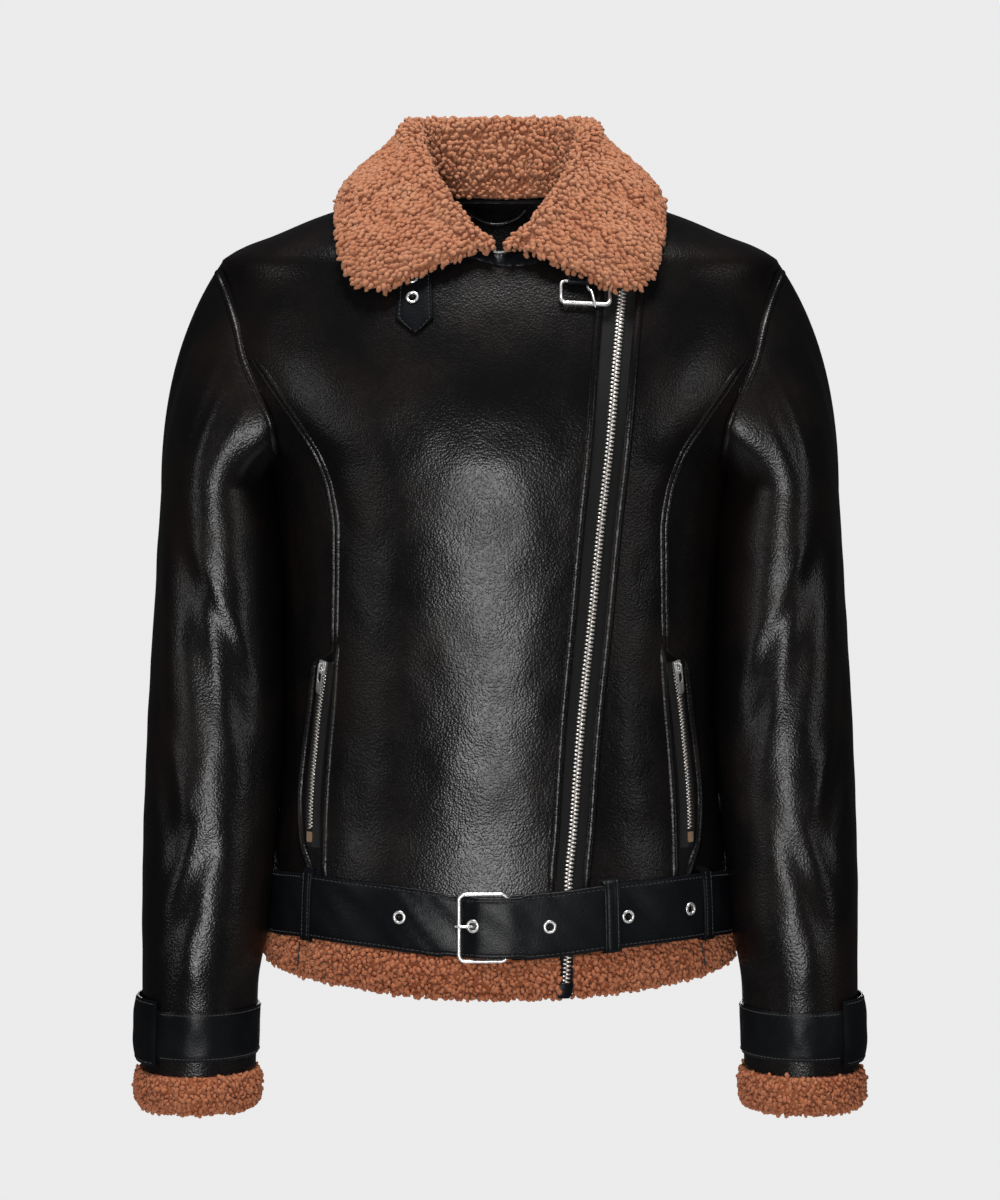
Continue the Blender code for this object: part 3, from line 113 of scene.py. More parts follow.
pocketZip = {
    "top": -343.5, "foot": -477.0, "toothFoot": -465.0, "tapeHalf": 8.5, "tapeGap": 0.6, "toothPitch": 2.5,
    "toothSize": 1.05,
}


def hermite(t, first, rise, second, secondRise, width=1.0):
    # cubic from one value to the next, with its rise at both
    return ((2 * t**3 - 3 * t**2 + 1) * first + (t**3 - 2 * t**2 + t) * rise * width
            + (3 * t**2 - 2 * t**3) * second + (t**3 - t**2) * secondRise * width)


def smoothTable(rows):
    # smooth curve through rows of (key, value, ...), free of overshoot
    data = np.array(rows, float)
    data = data[np.argsort(data[:, 0])]
    keys, values = data[:, 0], data[:, 1:]
    rise = np.diff(values, axis=0) / np.diff(keys)[:, None]
    slope = np.zeros_like(values)
    slope[0], slope[-1] = rise[0], rise[-1]
    near, far = rise[:-1], rise[1:]
    same = near * far > 0
    slope[1:-1][same] = 2 * near[same] * far[same] / (near[same] + far[same])

    def at(key):
        key = np.clip(np.asarray(key, float), keys[0], keys[-1])
        i = np.clip(np.searchsorted(keys, key) - 1, 0, len(keys) - 2)
        width = (keys[i + 1] - keys[i])[..., None]
        t = (key - keys[i])[..., None] / width
        out = hermite(t, values[i], slope[i], values[i + 1], slope[i + 1], width)
        return out[..., 0] if out.shape[-1] == 1 else out

    return at


def runAlong(line):
    return np.r_[0, np.cumsum(np.linalg.norm(np.diff(line, axis=0), axis=1))]


def evenly(points, steps):
    # points at even distances along a smooth line through the given ones
    points = np.array(points, float)
    run = runAlong(points)
    fine = smoothTable(np.c_[run, points])(np.linspace(0, run[-1], 600))
    length = runAlong(fine)
    want = np.linspace(0, length[-1], steps + 1)
    return np.stack([np.interp(want, length, fine[:, k]) for k in range(fine.shape[1])], axis=1)


def unit(v):
    v = np.asarray(v, float)
    return v / np.maximum(np.linalg.norm(v, axis=-1, keepdims=True), 1e-12)


def smoothStep(t):
    t = np.clip(t, 0, 1)
    return t * t * (3 - 2 * t)


# The body is a stack of level slices. A place on it is (h, z), with h the way along the slice
# from its middle. Faces are -1 for the front and 1 for the back, and so are the sides: -1 is
# the wearer's right.
sliceAt = smoothTable(torsoSlices)
zipAt, pocketZipAt, pocketAt = smoothTable(zipLine), smoothTable(pocketZipLine), smoothTable(pocketLine)
princessAt = {-1: smoothTable(princessFront), 1: smoothTable(princessBack)}
armholeAt = {-1: smoothTable(armholeFront), 1: smoothTable(armholeBack)}
quarter = np.linspace(0, math.pi / 2, 90)
quarterX = np.sin(quarter) ** (2 / bodyCut["power"])
quarterY = np.maximum(np.cos(quarter), 0) ** (2 / bodyCut["power"])


def sliceSize(face, z):
    size = sliceAt(z)
    return size[..., 0], size[..., 1 if face < 0 else 2]


def quarterRun(face, z):
    halfWidth, depth = sliceSize(face, z)
    x, y = halfWidth[..., None] * quarterX, depth[..., None] * quarterY
    run = np.cumsum(np.hypot(np.diff(x, axis=-1), np.diff(y, axis=-1)), axis=-1)
    return np.concatenate([np.zeros(run.shape[:-1] + (1,)), run], axis=-1)


def readRun(run, i):
    low = np.take_along_axis(run, i[..., None], -1)[..., 0]
    return low, np.take_along_axis(run, i[..., None] + 1, -1)[..., 0]


def hOf(face, x, z):
    x, z = np.broadcast_arrays(np.asarray(x, float), np.asarray(z, float))
    halfWidth, _ = sliceSize(face, z)
    turn = np.arcsin(np.minimum(np.abs(x) / halfWidth, 1.0) ** (bodyCut["power"] / 2)) / quarter[1]
    i = np.minimum(turn.astype(int), len(quarter) - 2)
    low, high = readRun(quarterRun(face, z), i)
    return np.copysign(low + (high - low) * (turn - i), x)


def bodyAt(face, h, z, lift=0.0):
    # points and outward normals of the body
    h, z, lift = np.broadcast_arrays(*(np.asarray(v, float) for v in (h, z, lift)))
    halfWidth, depth = sliceSize(face, z)
    run = quarterRun(face, z)
    away = np.abs(h)
    i = np.clip((run <= away[..., None]).sum(-1) - 1, 0, len(quarter) - 2)
    low, high = readRun(run, i)
    turn = (i + np.clip((away - low) / (high - low), 0, 1)) * quarter[1]
    p = bodyCut["power"]
    s, c = np.sin(turn) ** (2 / p), np.maximum(np.cos(turn), 0) ** (2 / p)
    x, y = np.copysign(halfWidth * s, h), face * depth * c
    upWidth, upDepth = sliceSize(face, z + 1)
    lowWidth, lowDepth = sliceSize(face, z - 1)
    lean = s**p * (upWidth - lowWidth) / 2 / halfWidth + c**p * (upDepth - lowDepth) / 2 / depth
    normal = unit(np.stack([
        np.copysign(s ** (p - 1) / halfWidth, h),
        face * c ** (p - 1) / depth,
        -lean,
    ], axis=-1))
    return np.stack([x, y, z], axis=-1) + lift[..., None] * normal, normal


def bodyX(face, x, z, lift=0.0):
    return bodyAt(face, hOf(face, x, z), z, lift)


def waistAt(turn, z, lift=0.0):
    # quarter turns round the waist from the middle of the front towards the viewer's right
    turn, z, lift = np.broadcast_arrays(*(np.asarray(v, float) for v in (turn, z, lift)))
    turn = turn % 4
    ahead = np.where(turn >= 3, turn - 4, turn)
    frontPoint, frontNormal = bodyAt(-1, ahead * quarterRun(-1, z)[..., -1], z, lift)
    backPoint, backNormal = bodyAt(1, (2 - turn) * quarterRun(1, z)[..., -1], z, lift)
    behind = ((turn >= 1) & (turn < 3))[..., None]
    return np.where(behind, backPoint, frontPoint), np.where(behind, backNormal, frontNormal)


def waistTurn(x, z):
    return (hOf(-1, x, z) / quarterRun(-1, np.asarray(z, float))[..., -1]) % 4


def stretch(foot, top, left, right):
    # grid of places between four outlines that meet at the corners
    v = np.linspace(0, 1, len(left))[:, None, None]
    u = np.linspace(0, 1, len(foot))[None, :, None]
    grid = (1 - v) * foot[None] + v * top[None] + (1 - u) * left[:, None] + u * right[:, None]
    grid = grid - (1 - u) * (1 - v) * foot[0] - u * (1 - v) * foot[-1]
    return grid - (1 - u) * v * top[0] - u * v * top[-1]


def along(a, b, steps):
    t = np.linspace(0, 1, steps + 1)[:, None]
    return (1 - t) * np.asarray(a, float) + t * np.asarray(b, float)


def fromEnds(count):
    # steps to the nearer end, for each of a row
    return np.minimum(np.arange(count), np.arange(count)[::-1])


def closeRound(grid):
    return np.concatenate([grid, grid[:, :1]], axis=1)


def join(*lines):
    return np.concatenate([lines[0]] + [line[1:] for line in lines[1:]])


# Meshes
def gridFaces(rows, columns, ring=False):
    i, j = np.meshgrid(np.arange(rows - 1), np.arange(columns if ring else columns - 1), indexing="ij")
    a, b = i * columns + j, i * columns + (j + 1) % columns
    return np.stack([a, b, b + columns, a + columns], axis=-1).reshape(-1, 4)


def addObject(name, data):
    thing = bpy.data.objects.new(name, data)
    bpy.context.collection.objects.link(thing)
    return thing


def newMesh(name, points, faces=()):
    mesh = bpy.data.meshes.new(name)
    mesh.from_pydata((np.asarray(points, float) * mm).tolist(), [], [list(map(int, f)) for f in faces])
    return mesh


def faceOut(mesh):
    shape = bmesh.new()
    shape.from_mesh(mesh)
    bmesh.ops.recalc_face_normals(shape, faces=shape.faces)
    shape.to_mesh(mesh)
    shape.free()


def addPiece(name, points, faces, looks, slot, looksOf=None, rides=body):
    mesh = newMesh(name, points, faces)
    faceOut(mesh)
    for look in looks if isinstance(looks, list) else [looks]:
        mesh.materials.append(look)
    if looksOf is not None:
        mesh.polygons.foreach_set("material_index", np.asarray(looksOf, np.int32))
    mesh.shade_smooth()
    mesh.set_sharp_from_angle(angle=math.radians(55))
    piece = addObject(name, mesh)
    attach(piece, rides)
    return piece


def addWall(name, outer, inner, looks, slot, ring=False):
    # closed wall between two grids; a second look goes on its inner face
    rows, columns = outer.shape[:2]
    count = rows * columns
    skin = gridFaces(rows, columns, ring)
    a = np.arange(columns if ring else columns - 1)
    b = (a + 1) % columns
    foot = np.stack([a, b, b + count, a + count], 1)
    faces = [skin, skin[:, ::-1] + count, foot, foot + (rows - 1) * columns]
    if not ring:
        r = np.arange(rows - 1) * columns
        for side in (0, columns - 1):
            faces.append(np.stack([r, r + columns, r + columns + count, r + count], 1) + side)
    faces = np.concatenate(faces)
    looksOf = None
    if isinstance(looks, list):
        looksOf = np.zeros(len(faces), int)
        looksOf[len(skin):2 * len(skin)] = 1
    points = np.concatenate([outer.reshape(-1, 3), inner.reshape(-1, 3)])
    return addPiece(name, points, faces, looks, slot, looksOf)


def addSweep(name, rings, look, slot, loop=False, **rides):
    # solid through closed profiles, with filled ends or joined round into a loop
    rings = np.asarray(rings, float)
    stations, size = rings.shape[:2]
    faces = (gridFaces(stations + loop, size, True) % (stations * size)).tolist()
    if not loop:
        faces += [list(range(size)), list(range((stations - 1) * size, stations * size))]
    return addPiece(name, rings.reshape(-1, 3), faces, look, slot, **rides)


def ribbon(path, normals, profile):
    # rings of a profile (across, lift) carried along a path on a surface
    path, normals = np.asarray(path, float), unit(normals)
    ahead = unit(np.gradient(path, axis=0))
    across = unit(np.cross(ahead, normals))
    profile = np.asarray(profile, float)
    if profile.ndim == 2:
        profile = np.broadcast_to(profile, (len(path),) + profile.shape)
    return path[:, None] + profile[..., :1] * across[:, None] + profile[..., 1:] * normals[:, None]


def cutSize(grid):
    # width, length and area of a grid laid flat, in metres
    rows = np.linalg.norm(np.diff(grid, axis=1), axis=-1).sum(1).max() * mm
    columns = np.linalg.norm(np.diff(grid, axis=0), axis=-1).sum(0).max() * mm
    a, b = grid[1:, :-1] - grid[:-1, :-1], grid[:-1, 1:] - grid[:-1, :-1]
    area = float(np.linalg.norm(np.cross(a, b), axis=-1).sum()) * mm * mm
    return float(rows), float(columns), area


cuts = {}
leastShare, mostShare = 0.31, 0.99


def declareSheet(piece, grid):
    # records the cut's width, length and area; a copy of the area is clamped to a fair share of width times
    # length, and nothing reads it
    width, length, area = cutSize(grid)
    cuts[piece.name] = (round(width, 3), round(length, 3), round(area, 4))
    area = min(max(area, leastShare * width * length), mostShare * width * length)


def addSheet(name, node, grid, outer, inner, looks, slot, ring=False):
    # wall that stands for a node and is cut as the grid lies flat
    piece = addWall(name, outer, inner, looks, slot, ring)
    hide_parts(node)
    declareSheet(piece, closeRound(grid) if ring else grid)
    return piece


# Materials
def newLook(name, roughness, metallic=0.0, sheen=0.0, specular=0.5):
    look = bpy.data.materials.new(name)
    look.use_nodes = True
    tree = look.node_tree
    shader = tree.nodes["Principled BSDF"]
    for label, value in (("Roughness", roughness), ("Metallic", metallic), ("Sheen Weight", sheen),
                         ("Sheen Roughness", 0.45), ("Specular IOR Level", specular)):
        shader.inputs[label].default_value = value
    return look, tree, shader


def link(tree, source, socket):
    tree.links.new(source, socket)


def addNode(tree, kind, **values):
    node = tree.nodes.new(kind)
    for key, value in values.items():
        if hasattr(node, key):
            setattr(node, key, value)
        else:
            node.inputs[key.replace("_", " ")].default_value = value
    return node


def objectPlace(tree):
    return tree.nodes.new("ShaderNodeTexCoord").outputs["Object"]


def noiseAt(tree, place, **values):
    node = addNode(tree, "ShaderNodeTexNoise", **values)
    link(tree, place, node.inputs["Vector"])
    return node


def feed(tree, socket, value):
    # a link where the value is a socket of another node
    if isinstance(value, bpy.types.NodeSocket):
        link(tree, value, socket)
    else:
        socket.default_value = value


def mixColour(tree, factor, first, second):
    mix = tree.nodes.new("ShaderNodeMix")
    mix.data_type = "RGBA"
    for k, value in ((0, factor), (6, first), (7, second)):
        feed(tree, mix.inputs[k], (*value, 1.0) if isinstance(value, tuple) else value)
    return mix.outputs[2]


def spread(tree, value, low, high, toLow=0.0, toHigh=1.0):
    node = tree.nodes.new("ShaderNodeMapRange")
    link(tree, value, node.inputs[0])
    for k, number in enumerate((low, high, toLow, toHigh)):
        node.inputs[k + 1].default_value = number
    return node.outputs[0]


def sumOf(tree, first, second, operation="ADD"):
    node = tree.nodes.new("ShaderNodeMath")
    node.operation = operation
    feed(tree, node.inputs[0], first)
    feed(tree, node.inputs[1], second)
    return node.outputs[0]


def bumpOf(tree, height, distance):
    node = tree.nodes.new("ShaderNodeBump")
    node.inputs["Distance"].default_value = distance
    link(tree, height, node.inputs["Height"])
    return node.outputs["Normal"]


def newGroup(name, inputs, outputs):
    tree = bpy.data.node_groups.new(name, "ShaderNodeTree")
    for label, value in inputs:
        socket = tree.interface.new_socket(label, in_out="INPUT", socket_type="NodeSocketFloat")
        socket.default_value = value
    for label in outputs:
        tree.interface.new_socket(label, in_out="OUTPUT", socket_type="NodeSocketFloat")
    return tree, tree.nodes.new("NodeGroupInput"), tree.nodes.new("NodeGroupOutput")


def useGroup(tree, group, **values):
    node = tree.nodes.new("ShaderNodeGroup")
    node.node_tree = group
    for key, value in values.items():
        node.inputs[key].default_value = value
    return node


# Leather grain: pebbles with fine creases between them, and slow unevenness from the hide
def makeGrainGroup():
    inputs, outputs = (("Grain", 900.0), ("Crease", 0.5)), ("Height", "Sheen mask", "Wear")
    tree, source, out = newGroup("leatherGrain", inputs, outputs)
    place = objectPlace(tree)
    warp = noiseAt(tree, place, Scale=160.0, Detail=2.0)
    moved = tree.nodes.new("ShaderNodeVectorMath")
    moved.operation = "MULTIPLY_ADD"
    link(tree, warp.outputs["Color"], moved.inputs[0])
    moved.inputs[1].default_value = (0.0016, 0.0016, 0.0016)
    link(tree, place, moved.inputs[2])
    pebbles = tree.nodes.new("ShaderNodeTexVoronoi")
    pebbles.feature = "SMOOTH_F1"
    pebbles.inputs["Smoothness"].default_value = 0.35
    link(tree, moved.outputs[0], pebbles.inputs["Vector"])
    link(tree, source.outputs["Grain"], pebbles.inputs["Scale"])
    fine = noiseAt(tree, place, Detail=3.0, Roughness=0.6)
    link(tree, sumOf(tree, source.outputs["Grain"], 0.5, "MULTIPLY"), fine.inputs["Scale"])
    creases = noiseAt(tree, place, Scale=95.0, Detail=4.0, Roughness=0.55)
    bent = spread(tree, creases.outputs[0], 0.35, 0.65)
    raised = sumOf(tree, spread(tree, pebbles.outputs["Distance"], 0.0, 0.75, 1.0, 0.0), 0.55, "MULTIPLY")
    height = sumOf(tree, raised, sumOf(tree, fine.outputs[0], 0.45, "MULTIPLY"))
    height = sumOf(tree, height, sumOf(tree, bent, source.outputs["Crease"], "MULTIPLY"))
    link(tree, height, out.inputs["Height"])
    slow = noiseAt(tree, place, Scale=14.0, Detail=3.0, Roughness=0.5)
    link(tree, sumOf(tree, spread(tree, slow.outputs[0], 0.3, 0.7), fine.outputs[0], "MULTIPLY"),
         out.inputs["Sheen mask"])
    link(tree, spread(tree, slow.outputs[0], 0.45, 0.62), out.inputs["Wear"])
    return tree


leatherGrain = makeGrainGroup()


def makeLeather(name, dark, warm, grain, crease, roughness, depth, specular):
    look, tree, shader = newLook(name, roughness, specular=specular)
    group = useGroup(tree, leatherGrain, Grain=grain, Crease=crease)
    colour = mixColour(tree, group.outputs["Wear"], dark, warm)
    link(tree, colour, shader.inputs["Base Color"])
    rough = spread(tree, group.outputs["Sheen mask"], 0.1, 0.5, roughness - 0.04, roughness + 0.07)
    link(tree, rough, shader.inputs["Roughness"])
    link(tree, bumpOf(tree, group.outputs["Height"], depth), shader.inputs["Normal"])
    return look


# Shearling: painted shade darkens the locks towards their roots, and surfaces without the shade attribute,
# such as the cores, take the shaded root colour; warmer and paler patches vary at random
def makeShearling(name, root, tip, pale, patchScale):
    look, tree, shader = newLook(name, 0.88, sheen=0.12, specular=0.2)
    place = objectPlace(tree)
    shade = addNode(tree, "ShaderNodeAttribute", attribute_name="tipShade")
    patches = noiseAt(tree, place, Scale=patchScale, Detail=3.0, Roughness=0.6)
    fibres = noiseAt(tree, place, Scale=1500.0, Detail=2.0, Roughness=0.7)
    # painted shade: each lock runs from the shaded root colour at its root to the tip colour
    colour = mixColour(tree, spread(tree, shade.outputs["Fac"], 0.05, 0.75), root, tip)
    colour = mixColour(tree, spread(tree, patches.outputs[0], 0.42, 0.68, 0.0, 0.6), colour, pale)
    colour = mixColour(tree, spread(tree, fibres.outputs[0], 0.3, 0.7, 0.0, 0.18), colour, root)
    link(tree, colour, shader.inputs["Base Color"])
    link(tree, bumpOf(tree, fibres.outputs[0], 0.0006), shader.inputs["Normal"])
    return look


def makeMetal(name, colour, roughness, metallic):
    look, tree, shader = newLook(name, roughness, metallic=metallic)
    place = objectPlace(tree)
    rubbed = noiseAt(tree, place, Scale=220.0, Detail=4.0, Roughness=0.6)
    scratches = noiseAt(tree, place, Scale=1400.0, Detail=2.0)
    duller = tuple(0.72 * c for c in colour)
    link(tree, mixColour(tree, spread(tree, rubbed.outputs[0], 0.45, 0.75), colour, duller),
         shader.inputs["Base Color"])
    link(tree, spread(tree, rubbed.outputs[0], 0.3, 0.7, roughness - 0.05, roughness + 0.12),
         shader.inputs["Roughness"])
    link(tree, bumpOf(tree, scratches.outputs[0], 0.00004), shader.inputs["Normal"])
    return look


# Woven tape and lining: crossing threads with a little unevenness
def makeWoven(name, dark, light, threads, roughness, sheen=0.2):
    look, tree, shader = newLook(name, roughness, sheen=sheen, specular=0.35)
    place = objectPlace(tree)
    waves = []
    for direction in "XZ":
        wave = addNode(tree, "ShaderNodeTexWave", Scale=threads, Distortion=0.4, Detail=1.0)
        wave.bands_direction = direction
        link(tree, place, wave.inputs["Vector"])
        waves.append(wave.outputs["Fac"])
    weave = sumOf(tree, waves[0], waves[1], "MULTIPLY")
    slow = noiseAt(tree, place, Scale=30.0, Detail=3.0)
    mixed = sumOf(tree, weave, slow.outputs[0], "MULTIPLY")
    link(tree, mixColour(tree, spread(tree, mixed, 0.0, 0.5), dark, light), shader.inputs["Base Color"])
    link(tree, spread(tree, slow.outputs[0], 0.3, 0.7, roughness - 0.05, roughness + 0.08),
         shader.inputs["Roughness"])
    link(tree, bumpOf(tree, weave, 0.00018), shader.inputs["Normal"])
    return look


bodyLeather = makeLeather("bodyLeather", (0.0045, 0.0040, 0.0042), (0.0078, 0.0056, 0.0048),
                          grain=620.0, crease=0.10, roughness=0.29, depth=0.00022, specular=0.26)
strapLeather = makeLeather("strapLeather", (0.0040, 0.0046, 0.0060), (0.0062, 0.0068, 0.0084),
                           grain=1100.0, crease=0.5, roughness=0.33, depth=0.00010, specular=0.14)
lightFur = makeShearling("collarShearling", root=(0.385, 0.132, 0.060), tip=(0.57, 0.240, 0.126),
                         pale=(0.62, 0.305, 0.175), patchScale=42.0)
darkFur = makeShearling("hemShearling", root=(0.34, 0.094, 0.036), tip=(0.54, 0.185, 0.084),
                        pale=(0.61, 0.24, 0.117), patchScale=36.0)
nickel = makeMetal("polishedNickel", (0.90, 0.89, 0.87), roughness=0.30, metallic=0.85)
toothMetal = makeMetal("zipToothMetal", (0.82, 0.77, 0.72), roughness=0.36, metallic=0.9)
zipTapeLook = makeWoven("zipTapeWeave", (0.004, 0.004, 0.004), (0.014, 0.014, 0.015), 520.0, 0.78, 0.03)
liningLook = makeWoven("liningWeave", (0.006, 0.006, 0.007), (0.018, 0.018, 0.020), 700.0, 0.5, 0.1)
threadLook = makeWoven("blackThread", (0.018, 0.017, 0.017), (0.055, 0.052, 0.052), 900.0, 0.55)
tanTape = makeWoven("tanTapeEnd", (0.20, 0.115, 0.055), (0.38, 0.24, 0.13), 500.0, 0.75)
print("materials made")


# Soft unevenness and folds of the body's leather, as (face, x, z) of both ends, depth, half width and bow.
# A negative depth is a trough. The back has folds of the same kind as the front.
bodyFolds = (
    (-1, -168, -150, -108, -262, -2, 11, 8),
    (-1, -150, -176, -126, -300, 1.4, 13, 4),
    (-1, -158, -215, -140, -330, -1.6, 9, 3),
    (-1, 168, -150, 112, -255, -2, 11, -8),
    (-1, 152, -178, 128, -310, 1.4, 13, -4),
    (-1, 157, -220, 142, -340, -1.5, 9, -3),
    (-1, -96, -150, -70, -330, 1.2, 24, 10),
    (-1, -40, -330, -66, -480, -1.3, 20, -6),
    (-1, 12, -300, 4, -470, 1.5, 24, 5),
    (-1, 32, -130, 40, -300, -1, 17, 4),
    (-1, 92, -130, 106, -300, -1.1, 12, -3),
    (-1, 84, -330, 92, -480, 1, 14, 3),
    (-1, -102, -380, -96, -490, -1, 11, -3),
    (-1, -24, -112, 34, -150, -0.9, 15, -6),
    (1, -170, -150, -120, -250, -2, 12, 8),
    (1, 170, -152, 118, -258, -2, 12, -8),
    (1, -60, -110, -86, -300, 1.5, 26, 8),
    (1, 64, -120, 84, -310, 1.4, 26, -7),
    (1, -6, -90, 4, -330, -1.4, 22, 4),
    (1, -48, -380, -38, -500, -1.6, 14, -4),
    (1, 44, -370, 36, -500, -1.5, 15, 4),
    (1, 2, -400, -4, -505, 1.3, 16, 3),
    (1, -130, -300, -120, -470, -1.3, 13, 4),
    (1, 132, -310, 122, -470, -1.3, 13, -4),
    (1, -30, -38, 40, -60, -1.2, 13, 5),
)


def foldLift(h, z, ends, depth, spreadWidth, bow):
    # height of one soft fold, strongest in its middle and gone at its ends
    (h0, z0), (h1, z1) = ends
    long = math.hypot(h1 - h0, z1 - z0)
    ahead = ((h1 - h0) / long, (z1 - z0) / long)
    run = ((h - h0) * ahead[0] + (z - z0) * ahead[1]) / long
    away = (h - h0) * -ahead[1] + (z - z0) * ahead[0]
    away = away - bow * np.sin(np.pi * np.clip(run, 0, 1))
    window = smoothStep((run + 0.08) / 0.4) * smoothStep((1.08 - run) / 0.4)
    return depth * window * np.exp(-(away / spreadWidth) ** 2)


# slow waves of the hide: two wavelengths and a height for each
hideWaves = ((41.0, 67.0, 0.42), (73.0, 38.0, 0.34), (29.0, 97.0, 0.26), (23.0, 31.0, 0.10))
# where the folds fade out: height or distance where it starts, and over how far
calmBands = {
    "belt": (-498, 34), "neck": (-46, 50), "zip": (12, 20), "pocket": (10, 12), "pocketTop": (-325, 14),
}
# middle x and z, and half width and height, of what lies on the panels
calmSpots = ((-61, -85, 24, 34), (62, -84, 32, 30))


def unevenness(a, b, seed):
    out = 0.0
    for k, (fa, fb, amount) in enumerate(hideWaves):
        out = out + (amount * np.sin(a / fa * 2 * np.pi + 1.7 * k + seed)
                     * np.cos(b / fb * 2 * np.pi + 2.3 * seed + k))
    return out


def besideBody(z, foot=-508.0):
    # where sleeve and body lie against each other
    return smoothStep((-192 - z) / 62) * smoothStep((z - foot) / 52)


def past(value, band):
    start, reach = calmBands[band]
    return smoothStep((value - start) / reach)


def bodyRelief(face, h, z):
    lift = 0.32 * unevenness(h, z, 0.4 if face < 0 else 1.3)
    for side, x0, z0, x1, z1, depth, width, bow in bodyFolds:
        if side == face:
            ends = ((float(hOf(face, x0, float(z0))), z0), (float(hOf(face, x1, float(z1))), z1))
            lift = lift + foldLift(h, z, ends, 0.5 * depth, width, bow)
    neck, reach = calmBands["neck"]
    calm = past(z, "belt") * smoothStep((neck - z) / reach)
    x = bodyAt(face, h, z)[0][..., 0]
    if face < 0:
        calm = calm * past(np.abs(x - zipAt(z)), "zip")
        nearPocket = past(np.abs(np.abs(x) - pocketZipAt(z)), "pocket")
        calm = calm * np.maximum(nearPocket, past(z, "pocketTop"))
        for middleX, middleZ, halfX, halfZ in calmSpots:
            calm = calm * smoothStep(np.hypot((x - middleX) / halfX, (z - middleZ) / halfZ) - 1)
    sideways = smoothStep((np.abs(x) / sliceSize(face, z)[0] - 0.84) / 0.16)
    return lift * calm + bodyCut["besideLift"] * besideBody(z) * sideways


# Panels of the body
def princess(face, side, steps):
    z = np.linspace(bodyCut["panelFoot"], bodyCut["princessTop"], steps + 1)
    return np.stack([hOf(face, side * princessAt[face](z), z), z], 1)


def armhole(face, side, low, high, steps):
    z = np.r_[np.linspace(-206, -203, 40), np.linspace(-202.8, -55, 300)]
    z = z[(z >= low) & (z <= high)]
    return evenly(np.stack([hOf(face, side * armholeAt[face](z), z), z], 1), steps)


def sideSeam(face, side, steps):
    z = np.linspace(bodyCut["panelFoot"], bodyCut["armholeFoot"], steps + 1)
    return np.stack([side * quarterRun(face, z)[..., -1], z], 1)


def shoulder(face, side, steps):
    z = np.linspace(bodyCut["shoulderTip"], 0.0, 60)
    z = evenly(np.stack([sliceAt(z)[..., 0], z], 1), steps)[:, 1]
    return np.stack([side * quarterRun(face, z)[..., -1], z], 1)


def neckHalf(face, side, steps):
    rows = np.array(neckFront if face < 0 else neckBack)[::-1]
    return evenly(np.stack([hOf(face, side * rows[:, 0], rows[:, 1]), rows[:, 1]], 1), steps)


def pullIn(points, by):
    out = points.copy()
    out[0] += by * unit(points[1] - points[0])
    out[-1] += by * unit(points[-2] - points[-1])
    out[:, 0] += by * unit(points[:, 1] - points[:, 0])
    out[:, -1] += by * unit(points[:, -2] - points[:, -1])
    return out


panelRows = {"below": 116, "above": 26}


def makePanel(name, node, face, foot, top, left, right):
    places = stretch(foot, top, left, right)
    h, z = places[..., 0], places[..., 1]
    relief = bodyRelief(face, h, z)
    points, normals = bodyAt(face, h, z)
    points = pullIn(points, bodyCut["seamGap"]) + relief[..., None] * normals
    inner = points - bodyCut["wall"] * normals
    addSheet(name, node, points, points, inner, [bodyLeather, liningLook], "black_leather")


def zipBand(z):
    # the lapping front's edge, from the zip's middle
    slope = (mainZip["bandTop"] - mainZip["bandFoot"]) / (mainZip["top"] - bodyCut["panelFoot"])
    return -mainZip["bandFoot"] - slope * (z - bodyCut["panelFoot"])


def frontEdge(offset, rest, corner, rows):
    # down to up beside the zip, then on under the collar
    z = np.linspace(bodyCut["panelFoot"], mainZip["top"], 60)
    x = np.r_[zipAt(z) + offset(z), [p[1] for p in rest]]
    z = np.r_[z, [p[0] for p in rest]]
    return evenly(np.r_[np.stack([hOf(-1, x, z), z], 1), [corner]], rows)


def makeBody():
    below, above = panelRows["below"], panelRows["above"]
    rows = below + above + 1
    seams = {}
    for face in (-1, 1):
        for side in (-1, 1):
            upper = armhole(face, side, bodyCut["armholeJoint"], bodyCut["shoulderTip"], above)
            seams[face, side] = np.concatenate([princess(face, side, below), upper])

    # front that laps over, from the princess seam to the zip
    neck = join(neckHalf(-1, -1, 12), neckHalf(-1, 1, 12)[::-1])
    top = join(shoulder(-1, -1, 32), neck)
    right = frontEdge(zipBand, overlapUnderCollar, top[-1], rows)
    left = seams[-1, -1]
    makePanel("frontRight", "front_right", -1, along(left[0], right[0], len(top) - 1), top, left, right)

    # front under the zip
    top = shoulder(-1, 1, 30)[::-1].copy()
    top[0] = (float(hOf(-1, *frontLeftCorner)), frontLeftCorner[1])
    left = frontEdge(lambda z: mainZip["bandLeft"] + 0 * z, underlapUnderCollar, top[0], rows)
    right = seams[-1, 1]
    makePanel("frontLeft", "front_left", -1, along(left[0], right[0], len(top) - 1), top, left, right)

    # side panels, cut back beside the pocket zips at the front
    for face, part in ((-1, "Front"), (1, "Back")):
        for side, where in ((-1, "Right"), (1, "Left")):
            inner = princess(face, side, 110)
            if face < 0:
                mouth = smoothStep((-331.0 - inner[:, 1]) / 13.0)
                seamX = princessAt[-1](inner[:, 1])
                x = seamX + (pocketAt(inner[:, 1]) - seamX) * mouth
                inner[:, 0] = hOf(-1, side * x, inner[:, 1])
            upper = armhole(face, side, bodyCut["armholeFoot"], bodyCut["armholeJoint"], 34)
            outer = join(sideSeam(face, side, 76), upper)
            foot, top = along(inner[0], outer[0], 24), along(inner[-1], outer[-1], 24)
            node = "side_%s_%s" % (part.lower(), where.lower())
            makePanel("side" + part + where, node, face, foot, top, inner, outer)

    # back
    neck = join(neckHalf(1, -1, 16), neckHalf(1, 1, 16)[::-1])
    top = join(shoulder(1, -1, 34), neck, shoulder(1, 1, 34)[::-1])
    left, right = seams[1, -1], seams[1, 1]
    makePanel("backPanel", "back", 1, along(left[0], right[0], len(top) - 1), top, left, right)
    print("body panels made")


